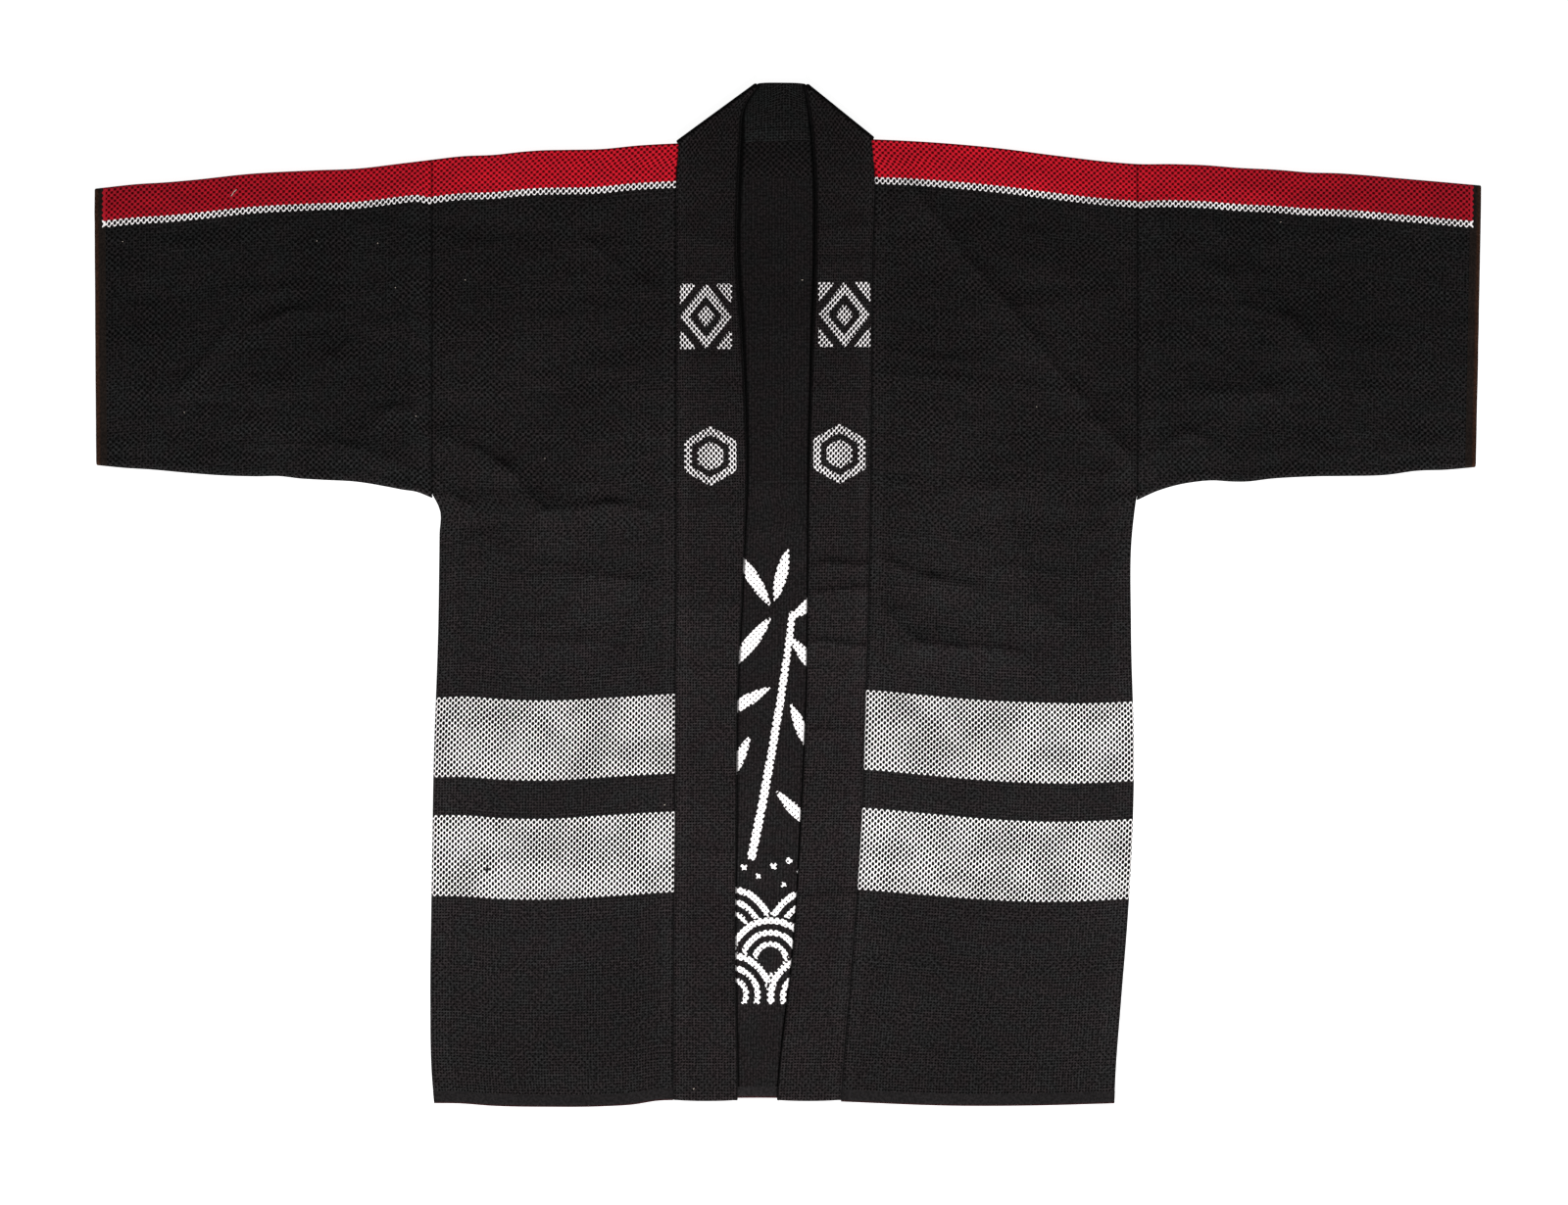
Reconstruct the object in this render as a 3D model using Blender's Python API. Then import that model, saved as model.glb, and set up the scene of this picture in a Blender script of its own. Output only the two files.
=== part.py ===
"""A short Japanese work coat (hanten) of heavy sashiko cotton, laid flat with its front up.

The back lies on the floor. The two fronts, the sleeves and the folded collar band lie on it, as the
cloth of a real coat does. +X is the wearer's left, +Y runs from the hem to the neck, +Z is up, and
the origin is on the floor under the middle of the coat. All sizes are in metres.
"""

import math
from collections import namedtuple

import bmesh
import bpy
import numpy as np
from mathutils import Matrix, Vector

COLLECTION = "hanten_coat"

# Cloth and sewing
WALL = 0.0018  # one layer of sashiko cloth
HEM_WALL = 0.0022  # a hem that is turned in
GAP = 0.0003  # between neighbouring pieces
HEM_DEPTH = 0.011
CUFF_DEPTH = 0.010
COLLAR_SLACK = 0.0006  # between the two layers of the folded collar band
COLLAR_CROWN = 0.0004  # how far the band's upper layer swells along its middle
COLLAR_THICK = 2 * WALL + COLLAR_SLACK

# Height of the cloth off the floor
LOFT = 0.0014  # how far the upper layer stands off the lower one, between its folds
MOST_LIFT = {"front": 0.0048, "sleeve": 0.0037}
EDGE_EASE = 0.026  # the lift dies out over this width at a folded or sewn edge
SEAM_DIP = 0.5  # share of the lift that a seam pulls down
SEAM_DIP_WIDTH = 0.010
COLLAR_SEAT = 0.0005  # the fronts' lift where the collar is sewn on
COLLAR_RAMP = (0.350, 0.388)  # the front collar climbs onto the neck collar between these

# Places where pieces meet
ARMHOLE_X = {"right": -0.3238, "left": 0.3176}
UNDERARM_Y = 0.092
SIDE_TOP_Y = 0.077
CUFF_X = {"right": -0.6305, "left": 0.6305}
CUFF_SLANT = {"right": 0.0015, "left": -0.0050}  # how far the cuff's lower end leans in
SEAM_REFERENCE_X = {"right": -0.102, "left": 0.075}
COLLAR_END_Y = -0.4594

# The collar is folded over itself at each side of the neck, along a slanting line
TURN_SEWN_X = {"right": -0.0948, "left": 0.0715}
TURN_FREE = {"right": (-0.0266, 0.4624), "left": (0.0150, 0.4620)}
NECK_FREE_RISE = 0.0038  # the neck collar's free edge bows up between the two turns

# Number of steps
FOLD_STEPS = 5
COLLAR_EDGE_STEPS = 4
COLLAR_TURN_STEPS = 6
UPPER_ROWS = 15
LOWER_ROWS = 24
FRONT_COLUMNS = 16
NECK_COLUMNS = 4
BACK_ROW_STEP = 6
SLEEVE_SECTIONS = 18
SLEEVE_TOP_STEPS = 16
SLEEVE_UNDER_STEPS = 3
NECK_SECTIONS = 12

LinePoint = namedtuple("LinePoint", "x y")
SideRow = namedtuple("SideRow", "y right left")
CollarRow = namedtuple("CollarRow", "y right_seam right_free left_free left_seam")
Fold = namedtuple("Fold", "x0 y0 x1 y1 width height")
HemPoint = namedtuple("HemPoint", "across thick")

SHOULDER_LINE = (
    LinePoint(-0.6305, 0.3693),
    LinePoint(-0.5390, 0.3782),
    LinePoint(-0.4320, 0.3864),
    LinePoint(-0.3238, 0.3947),
    LinePoint(-0.2270, 0.4040),
    LinePoint(-0.1020, 0.4112),
    LinePoint(0.0750, 0.4146),
    LinePoint(0.1930, 0.4059),
    LinePoint(0.3176, 0.3916),
    LinePoint(0.4600, 0.3853),
    LinePoint(0.5850, 0.3755),
    LinePoint(0.6305, 0.3720),
)

SLEEVE_UNDERSIDE = (
    LinePoint(-0.6305, 0.1188),
    LinePoint(-0.4940, 0.1090),
    LinePoint(-0.3780, 0.1026),
    LinePoint(-0.3430, 0.0958),
    LinePoint(-0.3238, 0.0880),
    LinePoint(0.3176, 0.0860),
    LinePoint(0.3360, 0.0956),
    LinePoint(0.3890, 0.1044),
    LinePoint(0.5490, 0.1106),
    LinePoint(0.6305, 0.1198),
)

HEM_LINE = (
    LinePoint(-0.3240, -0.4606),
    LinePoint(-0.2710, -0.4648),
    LinePoint(-0.2180, -0.4660),
    LinePoint(-0.1640, -0.4648),
    LinePoint(-0.1020, -0.4612),
    LinePoint(-0.0500, -0.4586),
    LinePoint(0.0100, -0.4586),
    LinePoint(0.0750, -0.4612),
    LinePoint(0.1750, -0.4650),
    LinePoint(0.2460, -0.4648),
    LinePoint(0.3180, -0.4608),
)

SIDE_LINES = (
    SideRow(0.0920, -0.3238, 0.3176),
    SideRow(0.0770, -0.3167, 0.3155),
    SideRow(0.0550, -0.3170, 0.3131),
    SideRow(-0.0300, -0.3182, 0.3122),
    SideRow(-0.1550, -0.3224, 0.3149),
    SideRow(-0.2260, -0.3236, 0.3131),
    SideRow(-0.2970, -0.3247, 0.3090),
    SideRow(-0.3680, -0.3254, 0.3033),
    SideRow(-0.4400, -0.3247, 0.2979),
    SideRow(-0.4660, -0.3229, 0.2970),
)

COLLAR_LINES = (
    CollarRow(0.4640, -0.0965, -0.0281, 0.0160, 0.0736),
    CollarRow(0.4500, -0.0965, -0.0385, 0.0186, 0.0736),
    CollarRow(0.4130, -0.0965, -0.0432, 0.0225, 0.0738),
    CollarRow(0.3980, -0.0985, -0.0440, 0.0235, 0.0768),
    CollarRow(0.3810, -0.1017, -0.0448, 0.0244, 0.0788),
    CollarRow(0.3100, -0.1017, -0.0464, 0.0246, 0.0769),
    CollarRow(0.2380, -0.1017, -0.0419, 0.0222, 0.0762),
    CollarRow(0.1160, -0.1017, -0.0378, 0.0189, 0.0752),
    CollarRow(0.0000, -0.1018, -0.0418, 0.0178, 0.0734),
    CollarRow(-0.0780, -0.1026, -0.0455, 0.0170, 0.0712),
    CollarRow(-0.2060, -0.1031, -0.0470, 0.0116, 0.0669),
    CollarRow(-0.3150, -0.1040, -0.0480, 0.0052, 0.0596),
    CollarRow(-0.4340, -0.1044, -0.0460, -0.0080, 0.0500),
    CollarRow(-0.4660, -0.1044, -0.0455, -0.0107, 0.0478),
)

# The turned hem from the edge of the panel to its rounded fold
HEM_PROFILE = (
    HemPoint(0.00, 0.85),
    HemPoint(0.12, 1.00),
    HemPoint(0.85, 1.00),
    HemPoint(1.00, 0.40),
)

# Ridges stand up and troughs press down. A bent fold has a row for each straight stretch.
FOLDS = (
    # Left front
    Fold(0.112, 0.372, 0.313, 0.122, 0.013, 0.0030),
    Fold(0.228, 0.359, 0.291, 0.310, 0.020, -0.0012),
    Fold(0.086, 0.218, 0.157, 0.218, 0.012, -0.0010),
    Fold(0.162, 0.149, 0.193, 0.095, 0.018, 0.0018),
    Fold(0.193, 0.095, 0.228, -0.003, 0.018, 0.0020),
    Fold(0.228, -0.003, 0.273, -0.038, 0.018, 0.0016),
    Fold(0.077, 0.033, 0.162, 0.009, 0.014, 0.0018),
    Fold(0.081, -0.005, 0.121, -0.043, 0.013, 0.0022),
    Fold(0.121, -0.043, 0.202, -0.049, 0.013, 0.0025),
    Fold(0.150, -0.220, 0.270, -0.260, 0.045, 0.0014),
    Fold(0.110, -0.360, 0.230, -0.340, 0.040, 0.0012),
    # Right front
    Fold(-0.311, 0.144, -0.253, 0.113, 0.013, 0.0026),
    Fold(-0.253, 0.113, -0.218, 0.078, 0.013, 0.0028),
    Fold(-0.218, 0.078, -0.111, 0.079, 0.014, 0.0024),
    Fold(-0.253, 0.042, -0.182, 0.015, 0.015, -0.0012),
    Fold(-0.182, 0.015, -0.137, 0.015, 0.015, 0.0018),
    Fold(-0.133, -0.007, -0.155, -0.074, 0.015, 0.0016),
    Fold(-0.218, 0.354, -0.111, 0.265, 0.022, 0.0018),
    Fold(-0.290, -0.180, -0.180, -0.230, 0.045, 0.0015),
    Fold(-0.240, -0.350, -0.140, -0.380, 0.040, 0.0012),
    # Right sleeve
    Fold(-0.485, 0.247, -0.414, 0.261, 0.014, 0.0022),
    Fold(-0.557, 0.180, -0.494, 0.265, 0.015, 0.0023),
    Fold(-0.387, 0.149, -0.334, 0.174, 0.014, 0.0020),
    Fold(-0.494, 0.131, -0.405, 0.136, 0.018, -0.0012),
    Fold(-0.405, 0.136, -0.360, 0.122, 0.018, 0.0018),
    # Left sleeve
    Fold(0.335, 0.336, 0.407, 0.283, 0.015, 0.0021),
    Fold(0.407, 0.283, 0.487, 0.234, 0.015, 0.0023),
    Fold(0.487, 0.234, 0.518, 0.167, 0.017, 0.0021),
    Fold(0.376, 0.180, 0.442, 0.185, 0.014, 0.0020),
    Fold(0.344, 0.136, 0.393, 0.136, 0.014, 0.0018),
)

BLACK_COTTON = (0.0120, 0.0115, 0.0115)
COLLAR_COTTON = (0.0170, 0.0155, 0.0160)
PLAIN_COTTON = (0.0190, 0.0175, 0.0178)


def follow(places, values, at):
    """The value at a place on a smooth line through a few measured points."""
    if at <= places[0]:
        return values[0]
    if at >= places[-1]:
        return values[-1]
    slopes = np.gradient(values, places)
    k = int(np.searchsorted(places, at)) - 1
    width = places[k + 1] - places[k]
    t = (at - places[k]) / width
    start = (1 + 2 * t) * (1 - t) ** 2 * values[k] + t * (1 - t) ** 2 * width * slopes[k]
    stop = t * t * (3 - 2 * t) * values[k + 1] - t * t * (1 - t) * width * slopes[k + 1]
    return float(start + stop)


def line_y(line, x):
    return follow([p.x for p in line], [p.y for p in line], x)


def row_value(rows, column, y):
    """The value in a named column at height y, for rows that run from the neck down to the hem."""
    rising = rows[::-1]
    return follow([r.y for r in rising], [getattr(r, column) for r in rising], y)


def side_x(side, y):
    return row_value(SIDE_LINES, side, y)


def collar_x(side, edge, y):
    return row_value(COLLAR_LINES, f"{side}_{edge}", y)


def smooth_step(value):
    t = min(1.0, max(0.0, value))
    return t * t * (3 - 2 * t)


def lerp(a, b, t):
    return a + (b - a) * t


def inward(side):
    """The sign of X from a side of the coat towards its middle."""
    return 1 if side == "right" else -1


def fold_height(fold, x, y):
    """A rounded ridge or trough along a straight line, dying out at its sides and its ends."""
    run_x, run_y = fold.x1 - fold.x0, fold.y1 - fold.y0
    along = ((x - fold.x0) * run_x + (y - fold.y0) * run_y) / (run_x**2 + run_y**2)
    along = min(1.0, max(0.0, along))
    off = math.hypot(x - fold.x0 - run_x * along, y - fold.y0 - run_y * along)
    return fold.height * math.exp(-((off / fold.width) ** 2))


def edge_distance(x, y):
    """The distance to the nearest edge where the upper layer is folded or sewn to the lower one."""
    side = "right" if x < 0 else "left"
    armhole = ARMHOLE_X[side]
    nearest = line_y(SHOULDER_LINE, x) - y
    if abs(x) > abs(armhole):
        return min(nearest, y - line_y(SLEEVE_UNDERSIDE, x))
    if y < UNDERARM_Y:
        nearest = min(nearest, abs(x - side_x(side, y)))
    return min(nearest, math.hypot(x - armhole, y - UNDERARM_Y))


def upper_lift(x, y):
    """How far the upper layer stands off the lower one at a place, past the gap between them."""
    armhole = abs(ARMHOLE_X["right" if x < 0 else "left"])
    height = LOFT + sum(fold_height(fold, x, y) for fold in FOLDS)
    on_body = smooth_step((armhole - abs(x)) / EDGE_EASE)
    height = min(lerp(MOST_LIFT["sleeve"], MOST_LIFT["front"], on_body), max(0.0, height))
    height *= smooth_step(edge_distance(x, y) / EDGE_EASE)
    if y > UNDERARM_Y:
        height *= 1 - SEAM_DIP * math.exp(-(((abs(x) - armhole) / SEAM_DIP_WIDTH) ** 2))
    return height


def front_lift(side, x, y):
    """The lift of a front, which settles to the height of its seam beside the collar."""
    from_collar = abs(x - collar_x(side, "seam", y))
    return lerp(COLLAR_SEAT, upper_lift(x, y), smooth_step(from_collar / EDGE_EASE))


def principled(name, colour, roughness):
    material = bpy.data.materials.new(name)
    material.use_nodes = True
    shader = material.node_tree.nodes["Principled BSDF"]
    shader.inputs["Base Color"].default_value = (*colour, 1)
    shader.inputs["Roughness"].default_value = roughness
    shader.inputs["Metallic"].default_value = 0.0
    return material


def cloth_solid(name, sections, colour, roughness=0.9, ring=False):
    """A closed wall lofted through sections.

    A section is a row of (outer, inner) points. A ring's last pair joins its first. The wall is
    closed at its first and last section and, where it is no ring, along both its long edges.
    """
    shape = bmesh.new()
    outer = [[shape.verts.new(pair[0]) for pair in section] for section in sections]
    inner = [[shape.verts.new(pair[1]) for pair in section] for section in sections]
    count = len(sections[0])
    steps = count if ring else count - 1
    for here in range(len(sections) - 1):
        there = here + 1
        for i in range(steps):
            j = (i + 1) % count
            shape.faces.new((outer[here][i], outer[here][j], outer[there][j], outer[there][i]))
            shape.faces.new((inner[here][i], inner[there][i], inner[there][j], inner[here][j]))
        if not ring:
            for i in (0, count - 1):
                shape.faces.new((outer[here][i], outer[there][i], inner[there][i], inner[here][i]))
    for end in (0, len(sections) - 1):
        for i in range(steps):
            j = (i + 1) % count
            shape.faces.new((outer[end][i], inner[end][i], inner[end][j], outer[end][j]))
    bmesh.ops.recalc_face_normals(shape, faces=shape.faces)
    mesh = bpy.data.meshes.new(name)
    shape.to_mesh(mesh)
    shape.free()
    mesh.shade_smooth()
    mesh.set_sharp_from_angle(angle=math.radians(40))
    mesh.materials.append(principled(f"{name}_cotton", colour, roughness))
    piece = bpy.data.objects.new(name, mesh)
    bpy.data.collections[COLLECTION].objects.link(piece)
    return piece


def layer(x, y, low, wall):
    """The upper and lower points of one flat layer of cloth at a place."""
    return Vector((x, y, low + wall)), Vector((x, y, low))


def half_turn(centre, outward, inner_radius, wall, steps):
    """The (outer, inner) points round a folded edge, from above its centre to below it."""
    pairs = []
    for i in range(1, steps + 1):
        angle = math.pi * i / steps
        way = Vector(outward) * math.sin(angle) + Vector((0, 0, math.cos(angle)))
        pairs.append((centre + way * (inner_radius + wall), centre + way * inner_radius))
    return pairs


def body_row_heights(reference_x):
    """The rows of the body's cloth from the shoulder fold to the hem, for one column of it."""
    top = line_y(SHOULDER_LINE, reference_x) - WALL - GAP / 2
    foot = line_y(HEM_LINE, reference_x) + HEM_DEPTH + GAP
    upper = [lerp(top, UNDERARM_Y, i / UPPER_ROWS) for i in range(UPPER_ROWS + 1)]
    lower = [lerp(SIDE_TOP_Y, foot, i / LOWER_ROWS) for i in range(LOWER_ROWS + 1)]
    return upper + lower


def body_columns():
    """The body's columns from the right side to the left one, as (part, share across the part)."""
    shares = [i / FRONT_COLUMNS for i in range(FRONT_COLUMNS + 1)]
    neck = [i / NECK_COLUMNS for i in range(1, NECK_COLUMNS)]
    return (
        [("right", share) for share in shares]
        + [("neck", share) for share in neck]
        + [("left", share) for share in reversed(shares)]
    )


def column_reference(part, share):
    if part == "neck":
        return lerp(SEAM_REFERENCE_X["right"], SEAM_REFERENCE_X["left"], share)
    return lerp(ARMHOLE_X[part], SEAM_REFERENCE_X[part], share)


def column_x(part, share, y):
    """Where a column of the body's cloth runs at height y, clear of its neighbours by half a gap."""
    if part == "neck":
        return lerp(collar_x("right", "seam", y), collar_x("left", "seam", y), share)
    side = side_x(part, y) + inward(part) * GAP / 2
    seam = collar_x(part, "seam", y) - inward(part) * GAP / 2
    return lerp(side, seam, share)


def neck_seam(x):
    """A point of the seam between the neck collar and the back."""
    return Vector((x, line_y(SHOULDER_LINE, x) - WALL - GAP / 2))


def make_back():
    """The back is one wide panel that lies flat on the floor."""
    sections = []
    last_row = UPPER_ROWS + LOWER_ROWS + 1
    rows = [0, UPPER_ROWS // 3, 2 * UPPER_ROWS // 3, UPPER_ROWS]
    rows += list(range(UPPER_ROWS + 1, last_row, BACK_ROW_STEP)) + [last_row]
    for part, share in body_columns():
        heights = body_row_heights(column_reference(part, share))
        heights[0] -= GAP
        section = [layer(column_x(part, share, heights[k]), heights[k], 0.0, WALL) for k in rows]
        sections.append(section)
    cloth_solid("back_panel", sections, BLACK_COTTON)


def make_front(side):
    """A front runs from the hem up and over the folded shoulder, where it meets the back."""
    sections = []
    for i in range(FRONT_COLUMNS + 1):
        share = i / FRONT_COLUMNS
        section = []
        for y in reversed(body_row_heights(column_reference(side, share))):
            x = column_x(side, share, y)
            lift = front_lift(side, x, y)
            section.append(layer(x, y, WALL + GAP + lift, WALL))
        section[-1] = layer(x, y, WALL + GAP, WALL)
        centre = Vector((x, y, WALL + GAP / 2))
        section += half_turn(centre, (0, 1, 0), GAP / 2, WALL, FOLD_STEPS)
        sections.append(section)
    cloth_solid(f"front_{side}", sections, BLACK_COTTON)


def make_hem(name, columns, low, inset):
    """The smooth turned hem along the foot of a panel."""
    sections = []
    for part, share in columns:
        foot = line_y(HEM_LINE, column_reference(part, share))
        section = []
        for point in HEM_PROFILE:
            y = lerp(foot + HEM_DEPTH, foot + inset, point.across)
            thick = HEM_WALL * point.thick
            section.append(layer(column_x(part, share, y), y, low + (HEM_WALL - thick) / 2, thick))
        sections.append(section)
    cloth_solid(name, sections, PLAIN_COTTON, roughness=0.8)


def tube_ring(x_at, top_y, under_y, wall):
    """One flattened ring of a sleeve: upper layer, underarm edge, floor layer, shoulder fold."""
    radius = wall + GAP / 2
    high, low = top_y - radius, under_y + radius
    ring = []
    for i in range(SLEEVE_TOP_STEPS + 1):
        y = lerp(high, low, i / SLEEVE_TOP_STEPS)
        x = x_at(y)
        ring.append(layer(x, y, wall + GAP + upper_lift(x, y), wall))
    under = half_turn(Vector((x_at(low), low, radius)), (0, -1, 0), GAP / 2, wall, FOLD_STEPS)
    ring += under[:-1]
    for i in range(SLEEVE_UNDER_STEPS + 1):
        y = lerp(low, high, i / SLEEVE_UNDER_STEPS)
        ring.append(layer(x_at(y), y, 0.0, wall)[::-1])
    over = half_turn(Vector((x_at(high), high, radius)), (0, 1, 0), GAP / 2, wall, FOLD_STEPS)
    return ring + over[-2::-1]


def make_sleeve(side):
    """A sleeve is a flat tube, open at the armhole and at the cuff, with a turned hem at its end."""
    armhole = ARMHOLE_X[side] - inward(side) * GAP / 2
    cuff = CUFF_X[side] + inward(side) * CUFF_DEPTH

    def ring(x, slant_share, wall):
        top, under = line_y(SHOULDER_LINE, x), line_y(SLEEVE_UNDERSIDE, x)

        def x_at(y):
            return x + CUFF_SLANT[side] * slant_share * (top - y) / (top - under)

        return tube_ring(x_at, top, under, wall)

    sections = []
    for i in range(SLEEVE_SECTIONS + 1):
        share = i / SLEEVE_SECTIONS
        sections.append(ring(lerp(armhole, cuff + inward(side) * GAP, share), share, WALL))
    cloth_solid(f"sleeve_{side}", sections, BLACK_COTTON, ring=True)

    hem = [ring(lerp(cuff, CUFF_X[side], share), 1, HEM_WALL) for share in (0, 0.5, 1)]
    cloth_solid(f"cuff_hem_{side}", hem, PLAIN_COTTON, roughness=0.8, ring=True)


def collar_section(sewn, free, low, crown=0.0):
    """A section across the folded collar band: upper layer, folded free edge, lower layer."""
    across = (Vector(free) - Vector(sewn)).normalized()
    radius = COLLAR_THICK / 2
    sewn, turn = Vector(sewn), Vector(free) - across * radius
    section = []
    for share in (0.0, 0.1, 0.5, 0.9, 1.0):
        x, y = sewn.lerp(turn, share)
        swell = crown * (1 - (2 * share - 1) ** 2)
        section.append(layer(x, y, low(y) + COLLAR_THICK - WALL + swell, WALL))
    centre = Vector((*turn, low(free[1]) + radius))
    section += half_turn(centre, (*across, 0), COLLAR_SLACK / 2, WALL, COLLAR_EDGE_STEPS)
    for share in (0.5, 0.0):
        x, y = sewn.lerp(turn, share)
        section.append(layer(x, y, low(y), WALL)[::-1])
    return section


def front_collar_floor(y):
    """The underside of the front collar: on the back panel, or on the neck collar above it."""
    start, stop = COLLAR_RAMP
    on_back = lerp(HEM_WALL + GAP, WALL + GAP, smooth_step((y - COLLAR_END_Y) / HEM_DEPTH / 4))
    return lerp(on_back, COLLAR_THICK + GAP, smooth_step((y - start) / (stop - start)))


def turned(section, axis_point, axis, angle):
    """A section swung round the line along which the collar is folded over itself."""
    swing = Matrix.Rotation(angle, 4, axis)
    return [[axis_point + swing @ (p - axis_point) for p in pair] for pair in section]


def make_front_collar(side):
    """The collar's front stretch, from the hem up to the neck and round its slanting fold."""
    heights = body_row_heights(SEAM_REFERENCE_X[side])[1:] + [COLLAR_END_Y]
    turn_sewn, turn_free = neck_seam(TURN_SEWN_X[side]), Vector(TURN_FREE[side])
    sections = []
    for sewn_y in reversed(heights):
        share = (turn_sewn.y - sewn_y) / (turn_sewn.y - COLLAR_END_Y)
        free_y = lerp(turn_free.y, COLLAR_END_Y, share)
        sewn = (collar_x(side, "seam", sewn_y) + inward(side) * GAP / 2, sewn_y)
        free = (collar_x(side, "free", free_y), free_y)
        crown = COLLAR_CROWN * smooth_step((COLLAR_RAMP[0] - sewn_y) / EDGE_EASE)
        sections.append(collar_section(sewn, free, front_collar_floor, crown))
    fold_start = collar_section(turn_sewn, turn_free, front_collar_floor)
    axis_point = Vector((*turn_sewn, COLLAR_THICK + GAP / 2))
    axis = Vector((*turn_free, axis_point.z)) - axis_point
    for i in range(COLLAR_TURN_STEPS + 1):
        angle = -inward(side) * math.pi * i / COLLAR_TURN_STEPS
        sections.append(turned(fold_start, axis_point, axis, angle))
    cloth_solid(f"collar_front_{side}", sections, COLLAR_COTTON)


def make_neck_collar():
    """The collar's neck stretch, which lies above the shoulders with its inner face up."""
    clear = 1.5 * GAP
    right_free, left_free = Vector(TURN_FREE["right"]), Vector(TURN_FREE["left"])
    right_free.x += clear
    left_free.x -= clear
    sections = []
    for i in range(NECK_SECTIONS + 1):
        share = i / NECK_SECTIONS
        sewn_x = lerp(TURN_SEWN_X["right"] + clear, TURN_SEWN_X["left"] - clear, share)
        free = right_free.lerp(left_free, share)
        free.y += NECK_FREE_RISE * (1 - (2 * share - 1) ** 4)
        sections.append(collar_section(neck_seam(sewn_x), free, lambda y: 0.0))
    cloth_solid("collar_neck", sections, COLLAR_COTTON)


def main():
    for old in list(bpy.data.objects):
        bpy.data.objects.remove(old)
    collection = bpy.data.collections.new(COLLECTION)
    bpy.context.scene.collection.children.link(collection)

    make_back()
    make_hem("hem_back", body_columns(), 0.0, inset=0.001)
    for side in ("right", "left"):
        make_front(side)
        front_columns = [column for column in body_columns() if column[0] == side]
        make_hem(f"hem_front_{side}", front_columns, HEM_WALL + GAP, inset=0.0)
        make_sleeve(side)
        make_front_collar(side)
    make_neck_collar()


main()
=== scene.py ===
"""A hanten coat of heavy sashiko cotton, laid flat with its front up.

The back lies on the floor. The two fronts, the sleeves and the folded collar band lie on it. Every panel
is a thin sheet of cloth, laid along the same lines as its solid, with its creases put in one by one. +X
is the wearer's left, +Y runs from the hem to the neck and +Z is up. All sizes are in metres.
"""

import math
from collections import namedtuple
from functools import partial

import bmesh
import bpy
import numpy as np
from mathutils import Matrix, Vector


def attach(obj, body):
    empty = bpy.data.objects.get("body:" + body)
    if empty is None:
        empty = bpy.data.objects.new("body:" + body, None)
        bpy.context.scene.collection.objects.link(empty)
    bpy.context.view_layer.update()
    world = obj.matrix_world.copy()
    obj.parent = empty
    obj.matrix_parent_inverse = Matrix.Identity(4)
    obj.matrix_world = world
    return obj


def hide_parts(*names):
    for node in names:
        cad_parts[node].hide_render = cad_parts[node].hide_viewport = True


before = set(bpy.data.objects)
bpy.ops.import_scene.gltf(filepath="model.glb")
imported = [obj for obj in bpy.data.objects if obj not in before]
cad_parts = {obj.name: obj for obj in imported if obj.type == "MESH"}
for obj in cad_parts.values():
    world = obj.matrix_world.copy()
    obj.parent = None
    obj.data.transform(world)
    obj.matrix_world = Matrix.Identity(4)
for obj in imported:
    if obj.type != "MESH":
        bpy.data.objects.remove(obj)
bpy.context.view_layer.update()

# Cloth and sewing
WALL = 0.0018
HEM_WALL = 0.0022
GAP = 0.0003
HEM_DEPTH = 0.011
CUFF_DEPTH = 0.010
COLLAR_THICK = 0.0042
COLLAR_CROWN = 0.0005
COLLAR_FREE_LIFT = 0.0013  # how far its free edge stands off the back
SHELL = 0.0016  # the sheets, which keep a little clear of each other inside a fold
HEM_SHELL = 0.0009
TURN_RADIUS = WALL + GAP / 2  # half the height of a fold over the gap inside it

# Height of the upper layer over the lower one
LOFT = 0.0014
MOST_LIFT = {"front": 0.0048, "sleeve": 0.0037}
EDGE_EASE = 0.026  # the lift dies out over this width at a folded or sewn edge
SEAM_DIP = 0.5  # share of the lift that the armhole seam pulls down
SEAM_DIP_WIDTH = 0.010
COLLAR_SEAT = 0.0005
# Distances from the collar's free edges are scaled up along its left stretch and towards the foot,
# narrowing the painted shade beside them there and the ease of the back's rumples
LEFT_DISTANCE_SCALE = 1.5
FOOT_DISTANCE_SCALE = 2.2
DISTANCE_SCALE_RISE = (0.30, 0.36)  # the height where that starts, and over what length it grows
HEM_SEAT = 0.0008
HEM_EASE = 0.030

# Folds swell softly, and each crease is a sharp crest on top of them
FOLD_SHARE = 0.5
CREST_SHARE = 1.9
CREST_WAVER = (0.85, 0.35)  # a crest's height, and how far it rises and falls along its line
STEEP_SIDE = 0.85  # a crest's width on the side of the neck, as a share of the width listed
GENTLE_SIDE = 2.8
STRAY = 0.0026  # how far a crest strays from its straight line

# Cloth turned in beside a seam
ALLOWANCE = 0.019
ALLOWANCE_RAISE = 0.0006
ALLOWANCE_STEP = 0.003
COLLAR_ALLOWANCE = 0.013
UNDERARM_ALLOWANCE = 0.010
COLLAR_RAMP = (0.350, 0.388)
NECK_UNDERLAP = 0.004  # how far a front reaches in under the collar at the shoulder fold

# Rolled edges
ROLL = 0.0019  # radius at the side seam
SEAM_ROLL = 0.28  # share of that roll at an armhole
EDGE_STEPS = (0.0, 0.0001, 0.0004, 0.0010, 0.0020)
END_STEP = 0.00015

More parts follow.
